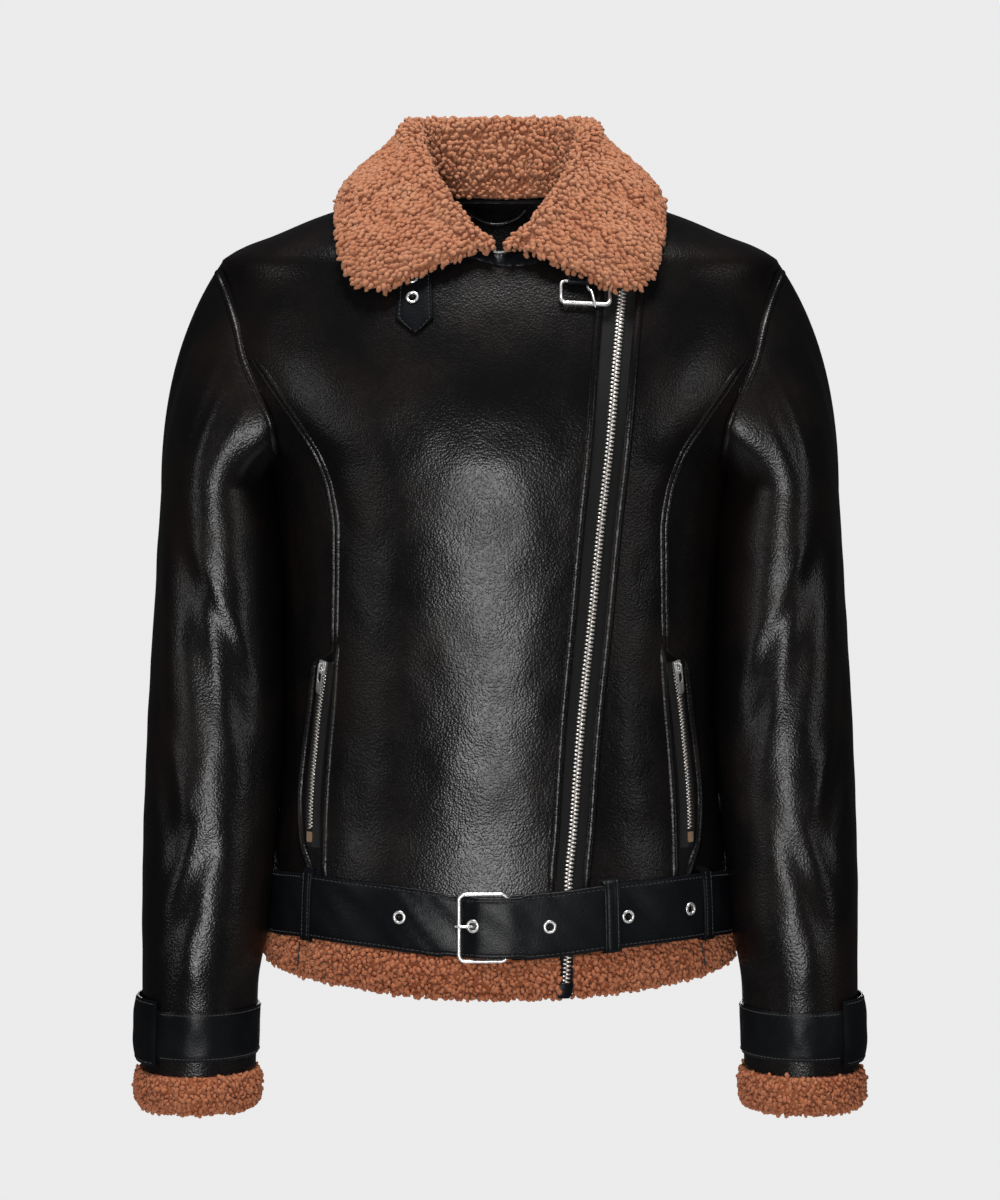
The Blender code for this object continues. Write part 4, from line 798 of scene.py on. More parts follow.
# Sleeves: height, outer x, inner x, middle y, half depth
sleeveRings = (
    (-222, 249.5, 166.5, -5, 70),
    (-263, 252, 164.5, -9, 68),
    (-302, 254, 163, -13, 66),
    (-327, 255.5, 163, -17, 64),
    (-393, 258.5, 163.5, -27, 59),
    (-446, 260, 166.5, -36, 54),
    (-512, 261, 172.5, -46, 49),
    (-572, 260.5, 176, -52, 46),
    (-650, 262, 178.5, -55, 44),
)
sleeveCut = {
    "foot": -640.0, "fullness": 0.35, "columns": 116, "capRows": 26, "rows": 118, "besideLift": 5.8,
    "besideFoot": -582.0, "calmFoot": -588.0,
}
# start angle and height, end angle and height, depth, half width in degrees
sleeveFolds = (
    (52, -230, 96, -400, -3.2, 13),
    (78, -262, 128, -420, -2.6, 12),
    (24, -330, 66, -500, -2.4, 12),
    (100, -455, 60, -560, -2, 12),
    (300, -240, 262, -420, -3, 14),
    (236, -300, 208, -440, -2.4, 12),
    (318, -410, 286, -560, -2.2, 12),
)
# shallow creases on top of the folds, of the same kind
sleeveCreases = (
    (34, -240, 58, -390, 1.3, 9),
    (66, -250, 112, -330, 1.1, 8),
    (96, -300, 130, -380, -1.2, 8),
    (40, -380, 84, -470, 1, 9),
    (84, -440, 44, -520, -0.9, 8),
    (70, -520, 96, -590, 0.8, 10),
    (330, -250, 300, -390, 1.2, 10),
    (250, -330, 222, -430, 1, 9),
    (290, -430, 322, -520, -1, 9),
    (200, -260, 168, -330, -1.4, 10),
    (352, -300, 340, -460, -1, 12),
)
sleeveAt = smoothTable(sleeveRings)


def foldsAt(table, turn, z):
    depth = 0.0
    for turnA, top, turnB, foot, deep, width in table:
        share = (z - top) / (foot - top)
        window = smoothStep((share + 0.05) / 0.38) * smoothStep((1.05 - share) / 0.38)
        away = (turn - (turnA + (turnB - turnA) * share) + 180) % 360 - 180
        depth = depth + deep * window * np.exp(-(away / width) ** 2)
    return depth


def sleeveAtPlace(side, turn, z, lift=0.0, fine=0.0):
    turn, z, lift = np.broadcast_arrays(*(np.asarray(v, float) for v in (turn, z, lift)))
    ring = sleeveAt(z)
    outer, inner, middleY, halfDepth = (ring[..., k] for k in range(4))
    inner = inner - sleeveCut["besideLift"] * besideBody(z, sleeveCut["besideFoot"])
    middleX, halfWidth = (outer + inner) / 2, (outer - inner) / 2
    c, s = np.cos(np.radians(turn)), np.sin(np.radians(turn))
    out = unit(np.stack([c / halfWidth, -s / halfDepth, 0 * c], -1))
    point = np.stack([middleX + halfWidth * c, middleY - halfDepth * s, z], -1)
    relief = foldsAt(sleeveFolds, turn, z)
    if fine:
        waves = 0.35 * unevenness(turn * 0.9, z, 0.8 + side)
        calm = smoothStep((z - sleeveCut["calmFoot"]) / 24)
        belowCap = smoothStep((sleeveRings[0][0] - z) / 40)
        relief = relief + fine * calm * (foldsAt(sleeveCreases, turn, z) + waves * belowCap)
    return (point + (lift + relief)[..., None] * out) * (side, 1, 1)


armholeTurn = smoothTable(armholeFacing)


def armholeSeam(side, steps):
    # seam from the shoulder down the front to the underarm and up the back, with the way it faces
    points, normals = [], []
    for face in (-1, 1):
        places = armhole(face, side, bodyCut["armholeFoot"], bodyCut["shoulderTip"], steps)[::-1]
        line = bodyAt(face, places[:, 0], places[:, 1])[0]
        run = runAlong(line)
        turn, lean = armholeTurn(run / run[-1]).T
        angle = np.radians(turn)
        points.append(line)
        normals.append(unit(np.stack([side * lean, face * np.sin(angle), np.cos(angle)], 1)))
    return (np.concatenate([points[0], points[1][::-1][1:-1]]),
            np.concatenate([normals[0], normals[1][::-1][1:-1]]))


def makeSleeve(side, where):
    half = sleeveCut["columns"] // 2
    seam, facing = armholeSeam(side, half)
    closed = np.concatenate([seam, seam[:1]])
    run = runAlong(closed)
    behind = (run[half + 1:] - run[half]) / (run[-1] - run[half])
    turns = np.r_[180 * run[:half + 1] / run[half], 180 + 180 * behind][:len(seam)]
    first = sleeveRings[0][0]
    below = sleeveAtPlace(side, turns, first)
    reach = np.linalg.norm(below - seam, axis=1)[:, None]
    start = unit(below - seam + sleeveCut["fullness"] * reach * facing) * reach
    end = np.array((0.0, 0.0, -1.0)) * reach
    cap = np.arange(sleeveCut["capRows"]) / sleeveCut["capRows"]
    rows = [hermite(t, seam, start, below, end) for t in cap]
    levels = np.linspace(first, sleeveCut["foot"], sleeveCut["rows"])
    points = np.concatenate([np.array(rows), sleeveAtPlace(side, turns[None], levels[:, None], fine=1.0)])
    down = np.gradient(points, axis=0)
    across = np.roll(points, -1, axis=1) - np.roll(points, 1, axis=1)
    normals = unit(np.cross(across, down)) * side
    # soft gathers of the cap below the seam
    gathers = 0.55 * np.sin(turns / 360 * 2 * np.pi * 17 + 0.8 * side) * (0.6 + 0.4 * np.sin(turns * 0.11))
    strength = np.sin(np.pi * cap) ** 1.5
    points[:len(cap)] += (strength[:, None] * gathers[None])[..., None] * normals[:len(cap)]
    points[0] += 0.2 * unit(points[1] - points[0])
    inner, looks = points - bodyCut["wall"] * normals, [bodyLeather, liningLook]
    node = "sleeve_" + where.lower()
    addSheet("sleeve" + where, node, points, points, inner, looks, "black_leather", ring=True)
    return turns, points, normals


# Small shapes repeated along paths, and locks of shearling
def newGeometryTree(name, inputs):
    tree = bpy.data.node_groups.new(name, "GeometryNodeTree")
    tree.interface.new_socket("Geometry", in_out="INPUT", socket_type="NodeSocketGeometry")
    for label, kind in inputs:
        tree.interface.new_socket(label, in_out="INPUT", socket_type="NodeSocket" + kind)
    tree.interface.new_socket("Geometry", in_out="OUTPUT", socket_type="NodeSocketGeometry")
    return tree, tree.nodes.new("NodeGroupInput"), tree.nodes.new("NodeGroupOutput")


def readVector(tree, name):
    node = tree.nodes.new("GeometryNodeInputNamedAttribute")
    node.data_type = "FLOAT_VECTOR"
    node.inputs["Name"].default_value = name
    return node.outputs["Attribute"]


def turnTo(tree, axis, vector, before=None, pivot="AUTO"):
    node = tree.nodes.new("FunctionNodeAlignRotationToVector")
    node.axis = axis
    node.pivot_axis = pivot
    link(tree, vector, node.inputs["Vector"])
    if before is not None:
        link(tree, before, node.inputs["Rotation"])
    return node.outputs["Rotation"]


def endTree(tree, source, out, instances):
    realize = tree.nodes.new("GeometryNodeRealizeInstances")
    dress = tree.nodes.new("GeometryNodeSetMaterial")
    link(tree, instances, realize.inputs[0])
    link(tree, realize.outputs[0], dress.inputs["Geometry"])
    link(tree, source.outputs["Look"], dress.inputs["Material"])
    link(tree, dress.outputs[0], out.inputs["Geometry"])


def templateGeometry(tree, source, label):
    info = tree.nodes.new("GeometryNodeObjectInfo")
    link(tree, source.outputs[label], info.inputs["Object"])
    return info.outputs["Geometry"]


def makePlaceTree():
    tree, source, out = newGeometryTree("placeOnPath", (("Template", "Object"), ("Look", "Material")))
    turned = turnTo(tree, "Z", readVector(tree, "normalWay"))
    turned = turnTo(tree, "Y", readVector(tree, "alongWay"), turned, "Z")
    place = tree.nodes.new("GeometryNodeInstanceOnPoints")
    link(tree, source.outputs["Geometry"], place.inputs["Points"])
    link(tree, templateGeometry(tree, source, "Template"), place.inputs["Instance"])
    link(tree, turned, place.inputs["Rotation"])
    link(tree, readVector(tree, "stretchBy"), place.inputs["Scale"])
    endTree(tree, source, out, place.outputs[0])
    return tree


def vectorMath(tree, operation, first, second):
    node = tree.nodes.new("ShaderNodeVectorMath")
    node.operation = operation
    feed(tree, node.inputs[0], first)
    feed(tree, node.inputs["Scale"] if operation == "SCALE" else node.inputs[1], second)
    return node.outputs[0]


def makeLockTree():
    tree, source, out = newGeometryTree("growLocks", (
        ("Lock A", "Object"), ("Lock B", "Object"), ("Lock C", "Object"), ("Spacing", "Float"),
        ("Stand", "Float"), ("Spread", "Float"), ("Smallest", "Float"), ("Largest", "Float"),
        ("Seed", "Int"), ("Look", "Material")))
    points = tree.nodes.new("GeometryNodeDistributePointsOnFaces")
    points.distribute_method = "POISSON"
    link(tree, source.outputs["Geometry"], points.inputs["Mesh"])
    link(tree, source.outputs["Spacing"], points.inputs["Distance Min"])
    link(tree, source.outputs["Seed"], points.inputs["Seed"])
    points.inputs["Density Max"].default_value = 1.2e6
    shake = tree.nodes.new("FunctionNodeRandomValue")
    shake.data_type = "FLOAT_VECTOR"
    shake.inputs[0].default_value = (-1.0, -1.0, -1.0)
    shake.inputs[1].default_value = (1.0, 1.0, 1.0)
    link(tree, source.outputs["Seed"], shake.inputs["Seed"])
    flow = readVector(tree, "flow")
    way = vectorMath(tree, "SCALE", points.outputs["Normal"], source.outputs["Stand"])
    way = vectorMath(tree, "ADD", way, flow)
    jitter = vectorMath(tree, "SCALE", shake.outputs[0], source.outputs["Spread"])
    way = vectorMath(tree, "ADD", way, jitter)
    turned = turnTo(tree, "Z", way)
    turned = turnTo(tree, "Y", vectorMath(tree, "ADD", flow, jitter), turned, "Z")
    size = tree.nodes.new("FunctionNodeRandomValue")
    size.data_type = "FLOAT"
    link(tree, source.outputs["Smallest"], size.inputs[2])
    link(tree, source.outputs["Largest"], size.inputs[3])
    pick = tree.nodes.new("FunctionNodeRandomValue")
    pick.data_type = "INT"
    pick.inputs[4].default_value = 0
    pick.inputs[5].default_value = 2
    kinds = tree.nodes.new("GeometryNodeJoinGeometry")
    for label in ("Lock C", "Lock B", "Lock A"):
        wrap = tree.nodes.new("GeometryNodeGeometryToInstance")
        link(tree, templateGeometry(tree, source, label), wrap.inputs[0])
        link(tree, wrap.outputs[0], kinds.inputs[0])
    place = tree.nodes.new("GeometryNodeInstanceOnPoints")
    place.inputs["Pick Instance"].default_value = True
    link(tree, points.outputs["Points"], place.inputs["Points"])
    link(tree, kinds.outputs[0], place.inputs["Instance"])
    link(tree, pick.outputs[2], place.inputs["Instance Index"])
    link(tree, turned, place.inputs["Rotation"])
    link(tree, size.outputs[1], place.inputs["Scale"])
    endTree(tree, source, out, place.outputs[0])
    return tree


placeTree = makePlaceTree()
lockTree = makeLockTree()


def runTree(name, mesh, tree, values):
    # a plain mesh from a tree, with the modifier and its source gone
    seed = addObject(name + "Source", mesh)
    step = seed.modifiers.new("grow", "NODES")
    step.node_group = tree
    for item in tree.interface.items_tree:
        if item.in_out == "INPUT" and item.name in values:
            step[item.identifier] = values[item.name]
    shown = seed.evaluated_get(bpy.context.evaluated_depsgraph_get())
    made = bpy.data.meshes.new_from_object(shown)
    bpy.data.objects.remove(seed)
    made.name = name
    made.shade_smooth()
    piece = addObject(name, made)
    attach(piece, body)
    return piece


def template(name, points, faces, tips=None):
    mesh = newMesh(name, points, faces)
    faceOut(mesh)
    mesh.shade_smooth()
    # shares of the way to the tip, which fade out the painted shade of the roots
    if tips is not None:
        shade = mesh.attributes.new("tipShade", "FLOAT", "POINT")
        shade.data.foreach_set("value", np.asarray(tips, np.float32))
    thing = addObject(name, mesh)
    thing.hide_render = True
    return thing


def tuft(name, radii, heights, bend, curl, phase, sides=5):
    # lock of pile: tapered rings that bend over and wind a little, closed at both ends
    top = heights[-1]

    def middle(t, h):
        lean = bend * t * t + curl * 0.6 * math.cos(4.0 * t + phase)
        return np.array((curl * math.sin(5.0 * t + phase), lean, h))
    points, tips = [], []
    for k, (r, h) in enumerate(zip(radii, heights)):
        for i in range(sides):
            turn = 2 * math.pi * (i + 0.35 * k) / sides
            points.append(middle(h / top, h) + (r * math.cos(turn), r * math.sin(turn), 0))
            # each point's share of the way to the tip fades out the painted shade at the root
            tips.append(max(0.0, min(1.0, h / top)))
    points.append(middle(1.12, top * 1.12))
    tips.append(1.0)
    last = (len(radii) - 1) * sides
    faces = [list(range(sides))[::-1]] + gridFaces(len(radii), sides, True).tolist()
    faces += [(last + i, last + (i + 1) % sides, last + sides) for i in range(sides)]
    return template(name, points, faces, tips)


longLocks = [
    tuft("lockA", (1.45, 2.15, 2.10, 1.20), (-0.8, 1.4, 2.9, 4.3), 1.3, 0.35, 0.4, 6),
    tuft("lockB", (1.40, 2.30, 2.20, 1.35), (-0.8, 1.2, 2.5, 3.7), 0.9, 0.45, 2.2, 6),
    tuft("lockC", (1.50, 2.00, 1.85, 0.95), (-0.8, 1.6, 3.2, 4.8), 1.8, 0.40, 4.1, 6),
]
shortLocks = [
    tuft("nubA", (1.35, 1.75, 1.25), (-0.7, 1.2, 2.8), 0.7, 0.35, 0.2),
    tuft("nubB", (1.25, 1.65, 1.30), (-0.7, 1.0, 2.4), 0.4, 0.55, 2.4),
    tuft("nubC", (1.40, 1.60, 1.10), (-0.7, 1.4, 3.3), 1.0, 0.40, 4.4),
]


def growFur(name, grid, flow, locks, look, slot, **values):
    # pile over a grid of points, in the way its flow runs
    mesh = newMesh(name + "Field", grid.reshape(-1, 3), gridFaces(*grid.shape[:2]))
    way = mesh.attributes.new("flow", "FLOAT_VECTOR", "POINT")
    way.data.foreach_set("vector", np.ascontiguousarray(flow.reshape(-1), np.float32))
    settings = {"Lock A": locks[0], "Lock B": locks[1], "Lock C": locks[2], "Look": look}
    settings.update(values)
    return runTree(name, mesh, lockTree, settings)


def placeAlong(name, spots, shape, look):
    # spots are (point, normal, along, stretch)
    mesh = newMesh(name + "Spots", [s[0] for s in spots])
    for label, k in (("normalWay", 1), ("alongWay", 2), ("stretchBy", 3)):
        layer = mesh.attributes.new(label, "FLOAT_VECTOR", "POINT")
        layer.data.foreach_set("vector", np.array([s[k] for s in spots], np.float32).reshape(-1))
    return runTree(name, mesh, placeTree, {"Template": shape, "Look": look})


def spotsAlong(path, normals, pitch, start=0.5, size=(1, 1, 1)):
    path, normals = np.asarray(path, float), unit(normals)
    run = runAlong(path)
    count = max(int((run[-1] - pitch * 2 * start) / pitch) + 1, 1)
    want = np.linspace(pitch * start, run[-1] - pitch * start, count)
    at = np.stack([np.interp(want, run, path[:, k]) for k in range(3)], 1)
    up = unit(np.stack([np.interp(want, run, normals[:, k]) for k in range(3)], 1))
    ahead = unit(np.gradient(at, axis=0)) if count > 1 else unit(path[-1:] - path[:1])
    return [(a, n, t, size) for a, n, t in zip(at, up, ahead)]


def makeStitch():
    # a short thread that dips in at both ends
    points, sides = [], 6
    for y, r, w in ((-1.25, 0.12, -0.22), (-0.75, 0.30, 0.06), (0.75, 0.30, 0.06), (1.25, 0.12, -0.22)):
        for i in range(sides):
            turn = 2 * math.pi * i / sides
            points.append((r * math.cos(turn), y, w + r * math.sin(turn)))
    faces = gridFaces(4, sides, True).tolist() + [list(range(sides)), list(range(3 * sides, 4 * sides))]
    return template("stitch", points, faces)


def makeTooth():
    # one element of the chain: a rounded block with a raised, waisted head
    points = []
    for x, y, z in ((-0.95, 0.36, 0.45), (-0.55, 0.62, 0.92), (0.45, 0.62, 0.92), (0.95, 0.34, 0.5)):
        outline = ((-y, -0.3), (y, -0.3), (y, z * 0.75), (y * 0.55, z), (-y * 0.55, z), (-y, z * 0.75))
        points += [(x * 1.75, *place) for place in outline]
    return template("tooth", points, gridFaces(4, 6, True).tolist() + [list(range(6)), list(range(18, 24))])


stitch = makeStitch()
tooth = makeTooth()
print("trees and templates made")


def sew(name, spots):
    placeAlong(name, spots, stitch, threadLook)


def rounded(profile, times=2):
    # closed profile with its corners cut back
    line = np.asarray(profile, float)
    for _ in range(times):
        after = np.roll(line, -1, axis=0)
        near, far = 0.78 * line + 0.22 * after, 0.22 * line + 0.78 * after
        line = np.stack([near, far], axis=1).reshape(-1, line.shape[1])
    return line


def tubeRings(path, radii, side, sides=12, loop=False):
    # rings round a path; side is a way that is never along it
    path = np.asarray(path, float)
    radii = np.broadcast_to(np.asarray(radii, float), (len(path),))
    ahead = np.roll(path, -1, axis=0) - np.roll(path, 1, axis=0) if loop else np.gradient(path, axis=0)
    ahead = unit(ahead)
    across = unit(np.cross(ahead, side))
    up = np.cross(across, ahead)
    turn = np.arange(sides) * 2 * math.pi / sides
    ring = np.cos(turn)[None, :, None] * across[:, None] + np.sin(turn)[None, :, None] * up[:, None]
    return path[:, None] + radii[:, None, None] * ring


def roundedLoop(centres, radius, between):
    # flat loop through quarter circles, each about a centre and from a start angle
    flat = []
    for x, z, start in centres:
        angles = [math.radians(start + 15 * s) for s in range(7)]
        arc = [(x + radius * math.cos(a), z + radius * math.sin(a)) for a in angles]
        if flat:
            flat += along(flat[-1], arc[0], between)[1:-1].tolist()
        flat += arc
    return np.array(flat + along(flat[-1], flat[0], between)[1:-1].tolist())


def catmull(points, at):
    points, out = np.asarray(points, float), []
    for t in at:
        i = min(int(t), len(points) - 2)
        f = t - i
        b, c = points[i], points[i + 1]
        a = points[i - 1] if i > 0 else 2 * b - c
        d = points[i + 2] if i + 2 < len(points) else 2 * c - b
        square, cube = 2 * a - 5 * b + 4 * c - d, 3 * b - a - 3 * c + d
        out.append(0.5 * (2 * b + (c - a) * f + square * f**2 + cube * f**3))
    return np.array(out)


def holeRing(normal, count):
    # ways round a hole
    across = unit(np.cross((0.0, 0.0, 1.0), normal))
    turn = (np.arange(count) * math.pi / (count / 2))[:, None]
    return np.cos(turn) * across + np.sin(turn) * np.cross(normal, across)


def punch(piece, holes, radius, reach):
    # round holes through a strap, at (centre, normal)
    for centre, normal in holes:
        ring = radius * holeRing(normal, 24)
        points = np.concatenate([centre + ring - reach * normal, centre + ring + reach * normal])
        faces = gridFaces(2, 24, True).tolist() + [list(range(24))[::-1], list(range(24, 48))]
        cutter = addObject("cutter", newMesh("cutter", points, faces))
        step = piece.modifiers.new("hole", "BOOLEAN")
        step.operation = "DIFFERENCE"
        step.solver = "EXACT"
        step.object = cutter
        shown = piece.evaluated_get(bpy.context.evaluated_depsgraph_get())
        made = bpy.data.meshes.new_from_object(shown)
        piece.modifiers.clear()
        piece.data = made
        bpy.data.objects.remove(cutter)
    piece.data.name = piece.name


# the pressed metal of an eyelet: distance from its middle, and height
eyeletProfile = ((4.8, 0.2), (4.5, 0.8), (3.7, 1.1), (2.75, 0.75), (2.7, -1.6), (3.0, -1.6), (3.1, 0.2))


def addWire(name, node, rings, **shape):
    wire = addSweep(name, rings, nickel, "polished_nickel", **shape)
    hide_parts(node)


def addEyelet(name, node, centre, normal):
    profile = rounded(eyeletProfile, 1)
    rings = [[centre + r * out + lift * normal for r, lift in profile] for out in holeRing(normal, 32)]
    addWire(name, node, rings, loop=True)


def smoothCopy(node, name, width, rides=body):
    # a node's own mesh with its edges rounded
    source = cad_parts[node]
    mesh = source.data.copy()
    shape = bmesh.new()
    shape.from_mesh(mesh)
    bmesh.ops.transform(shape, matrix=source.matrix_basis, verts=shape.verts)
    bmesh.ops.remove_doubles(shape, verts=shape.verts, dist=0.00002)
    bmesh.ops.dissolve_limit(shape, angle_limit=math.radians(4), verts=shape.verts, edges=shape.edges)
    edges = [e for e in shape.edges if len(e.link_faces) == 2 and e.calc_face_angle() > math.radians(28)]
    bmesh.ops.bevel(shape, geom=edges, offset=width * mm, segments=2, profile=0.5, affect="EDGES",
                    clamp_overlap=True)
    shape.to_mesh(mesh)
    shape.free()
    mesh.materials.clear()
    mesh.materials.append(nickel)
    mesh.shade_smooth()
    mesh.set_sharp_from_angle(angle=math.radians(40))
    piece = addObject(name, mesh)
    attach(piece, rides)
    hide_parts(node)


# Seams: padded ridges and double ridges with a groove
def onBody(face, h, z):
    points, normals = bodyAt(face, h, z)
    return points + bodyRelief(face, np.asarray(h, float), np.asarray(z, float))[..., None] * normals, normals


doubleRidge = (
    (-4.4, -0.5), (-3.5, 0.45), (-2.4, 1.25), (-1.3, 1.05), (-0.5, 0.1), (0, -0.3), (0.5, 0.1), (1.3, 1.05),
    (2.4, 1.25), (3.5, 0.45), (4.4, -0.5), (0, -0.9),
)
slimRidge = tuple((0.72 * u, 0.75 * w if w > 0 else w) for u, w in doubleRidge)
edgeRidge = (
    (-3.4, -0.5), (-2.7, 0.75), (-1.4, 1.7), (0, 1.95), (1.4, 1.7), (2.6, 0.8), (3.1, -0.3), (0, -0.9),
)
capRidge = (
    (-3.6, -0.6), (-2.7, 0.5), (-1.5, 1.25), (0, 1.4), (1.2, 0.9), (1.9, -0.1), (1.6, -0.9), (-1, -1),
)


def addRidges(name, lines):
    # several sweeps in one piece; each line is (path, normals, profile)
    points, faces, base = [], [], 0
    for path, normals, profile in lines:
        count, size = len(path), len(profile)
        taper = np.clip(fromEnds(count) / 4, 0.25, 1.0)
        shaped = np.asarray(profile, float)[None] * np.stack([0.6 + 0.4 * taper, taper], 1)[:, None]
        points.append(ribbon(path, normals, shaped).reshape(-1, 3))
        faces += (gridFaces(count, size, True) + base).tolist()
        last = base + (count - 1) * size
        faces += [list(range(base, base + size)), list(range(last, last + size))]
        base += count * size
    return addPiece(name, np.concatenate(points), faces, bodyLeather, "black_leather")


def bodyLine(face, side, lineAt, low, high, steps, offset=0.0):
    z = np.linspace(low, high, steps + 1)
    return onBody(face, hOf(face, side * (lineAt(z) + offset), z), z)


def makeSeams():
    lines = []
    for side in (-1, 1):
        z = np.linspace(-505, -208, 90)
        places = shoulder(-1, side, 60)[2:-1]
        # princess seams, both lips of each pocket, side seam and shoulder seam
        lines += [
            (*bodyLine(-1, side, princessAt[-1], -334, -126, 70), doubleRidge),
            (*bodyLine(1, side, princessAt[1], -505, -127, 110), doubleRidge),
            (*bodyLine(-1, side, princessAt[-1], -503, -330, 60, -2.6), edgeRidge),
            (*bodyLine(-1, side, pocketAt, -503, -338, 60, 2.6), edgeRidge),
            (*onBody(-1, side * quarterRun(-1, z)[..., -1], z), slimRidge),
            (*onBody(-1, places[:, 0], places[:, 1]), slimRidge),
        ]
    addRidges("seamRidges", lines)

    lines = []
    z = np.linspace(-505, -50, 170)
    for x in (zipAt(z) + zipBand(z) - 3.1, zipAt(z) + mainZip["bandLeft"] + 3.1):
        lines.append((*onBody(-1, hOf(-1, x, z), z), edgeRidge))
    addRidges("zipEdgeRidges", lines)
    print("seams made")


def makeArmholes(grids):
    # the sleeve's edge stands proud of the body round the whole armhole
    lines = []
    for side, (_, points, normals) in grids.items():
        ring = np.concatenate([points[1], points[1][:3]])
        out = np.concatenate([normals[1], normals[1][:3]])
        lines.append((ring, out, np.array(capRidge) * (side, 1)))
    addRidges("armholeRidges", lines)
    print("armholes made")


# Cuffs
cuffCut = {
    "strapTop": -594.0, "strapFoot": -629.5, "strapLift": 2.2, "tabTop": -587.0, "tabFoot": -634.0,
    "tabHalfTurn": 52.0, "tabLift": 4.2, "bend": -650.0,
}
# pile: its locks, look and slot, how far apart, upright and shaken the locks are, and their sizes
darkPile = {
    "locks": shortLocks, "look": darkFur, "slot": "rust_shearling", "Spacing": 0.0026, "Stand": 1.0,
    "Spread": 0.7, "Smallest": 0.7,
}
collarPile = {
    "locks": longLocks, "look": lightFur, "slot": "caramel_shearling", "Spacing": 0.0031, "Stand": 0.85,
    "Spread": 0.55, "Smallest": 0.7, "Largest": 1.1,
}
standPile = dict(collarPile, Spacing=0.0034, Stand=1.0, Spread=0.45, Smallest=0.65, Largest=0.9)
# sections of the shearling of a cuff, as lift and height: its core, and the field that the pile grows on
cuffFurProfile = (
    (-2.6, -640.4), (2.2, -640.4), (5, -645), (5.8, -655), (4.6, -665.5),
    (0, -671), (-6, -669), (-8, -660), (-7.4, -648),
)
cuffFurField = (
    (0.6, -641.2), (2.2, -644.5), (3, -650), (3, -657), (2, -663), (-0.6, -667), (-4.2, -667.4),
    (-6.2, -664), (-6.6, -656), (-6.4, -648),
)


def makeCuff(side, where, turns):
    name = where.capitalize()
    z = np.linspace(cuffCut["strapTop"], cuffCut["strapFoot"], 15)
    edge = np.minimum(z[0] - z, z - z[-1])[:, None]
    waves = 0.35 * unevenness(turns[None] * 1.4, z[:, None] * 1.6, 2.0 + side)
    waves = waves - 0.5 * np.clip(1 - edge / 1.2, 0, 1)
    outer = sleeveAtPlace(side, turns[None], z[:, None], cuffCut["strapLift"] + waves)
    inner = sleeveAtPlace(side, turns[None], z[:, None], 0.4)
    node = "cuff_strap_" + where
    addSheet("cuffStrap" + name, node, outer, outer, inner, strapLeather, "strap_leather", ring=True)

    # tab buttoned down over the outer side of the strap, bowed out in its middle
    half = cuffCut["tabHalfTurn"]
    t = np.linspace(-half, half, 34)[None]
    z = np.linspace(cuffCut["tabTop"], cuffCut["tabFoot"], 26)[:, None]
    share = (cuffCut["tabTop"] - z) / (cuffCut["tabTop"] - cuffCut["tabFoot"])
    bow = np.sin(np.pi * share) * (1 - (t / half) ** 2)
    edge = np.minimum(np.minimum(cuffCut["tabTop"] - z, z - cuffCut["tabFoot"]), (half - np.abs(t)) * 0.7)
    rim = np.clip(1 - edge / 1.3, 0, 1)
    crease = 0.5 * np.sin(share * 9 + t * 0.05) * bow
    outer = sleeveAtPlace(side, t, z, cuffCut["tabLift"] + 2.6 * bow + crease - 0.5 * rim)
    inner = sleeveAtPlace(side, t, z, 2.6 + 1.2 * bow)
    addSheet("cuffTab" + name, "cuff_tab_" + where, outer, outer, inner, strapLeather, "strap_leather")

    # shearling: a core, with nubs over all that shows
    def profileAt(profile):
        rings = []
        for lift, level in profile:
            below = min(level - cuffCut["bend"], 0.0)
            rings.append(sleeveAtPlace(side, turns, level - below, lift) + (0, 0, below))
        return np.array(rings)
    core = profileAt(rounded([(0.62 * a - 0.6, -643.5 + (b + 643.5) * 0.88) for a, b in cuffFurProfile], 1))
    core = addSweep("cuffFurCore" + name, np.swapaxes(core, 0, 1), darkFur, "rust_shearling", loop=True)
    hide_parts("cuff_shearling_" + where)
    grid = closeRound(profileAt(cuffFurField))
    if side < 0:
        grid = grid[:, ::-1]
    flow = unit(np.gradient(grid, axis=0)) * 0.55
    grown = growFur("cuffFur" + name, grid, flow, Largest=1.25, Seed=11 + side, **darkPile)
    declareSheet(core, grid[:7])

    # stitches along the edges of the strap and the tab: height, lift, span and count
    stitches = []
    for level, lift, low, high, count in (
            (cuffCut["strapTop"] - 2.0, 2.35, 56, 304, 120), (cuffCut["strapFoot"] + 2.0, 2.35, 56, 304, 120),
            (cuffCut["tabTop"] - 2.2, 4.45, 3 - half, half - 3, 60),
            (cuffCut["tabFoot"] + 2.2, 4.45, 3 - half, half - 3, 60)):
        around = np.linspace(low, high, count)
        path = sleeveAtPlace(side, around, level, lift)
        stitches += spotsAlong(path, unit(sleeveAtPlace(side, around, level, lift + 1) - path), 3.0)
    sew("cuffStitches" + name, stitches)


# Belt, its loops and the shearling of the hem
beltLine = (
    (-171, -522.5), (-139, -518.8), (-93, -520.8), (-57, -524.3), (-28, -527.4), (0, -528),
    (36, -526), (72, -522.2), (108, -519.5), (139, -519), (171, -522.5),
)
beltCut = {
    "height": 46.0, "atBuckle": 42.8, "wall": 2.3, "over": 3.7, "under": 0.6, "ease": 1.0, "start": 8.0,
    "endQuarter": 5.03, "level": -527.0, "loopLevel": -522.0, "buckleX": -12.0, "holeRadius": 3.05,
    "stitchPitch": 3.6, "bareRight": -42.0, "bareLeft": 38.0,
}
# half of the belt's section: share of the half height, and lift over its inner face
beltOutside = (
    (0.12, 2.42), (0.35, 2.44), (0.6, 2.42), (0.80, 2.36), (0.865, 2.28), (0.885, 2.12), (0.905, 2.28),
    (0.94, 2.2), (0.985, 1.85), (1, 1.2), (0.995, 0.5),
)
beltInside = ((0.97, 0.05), (0.5, 0.0))
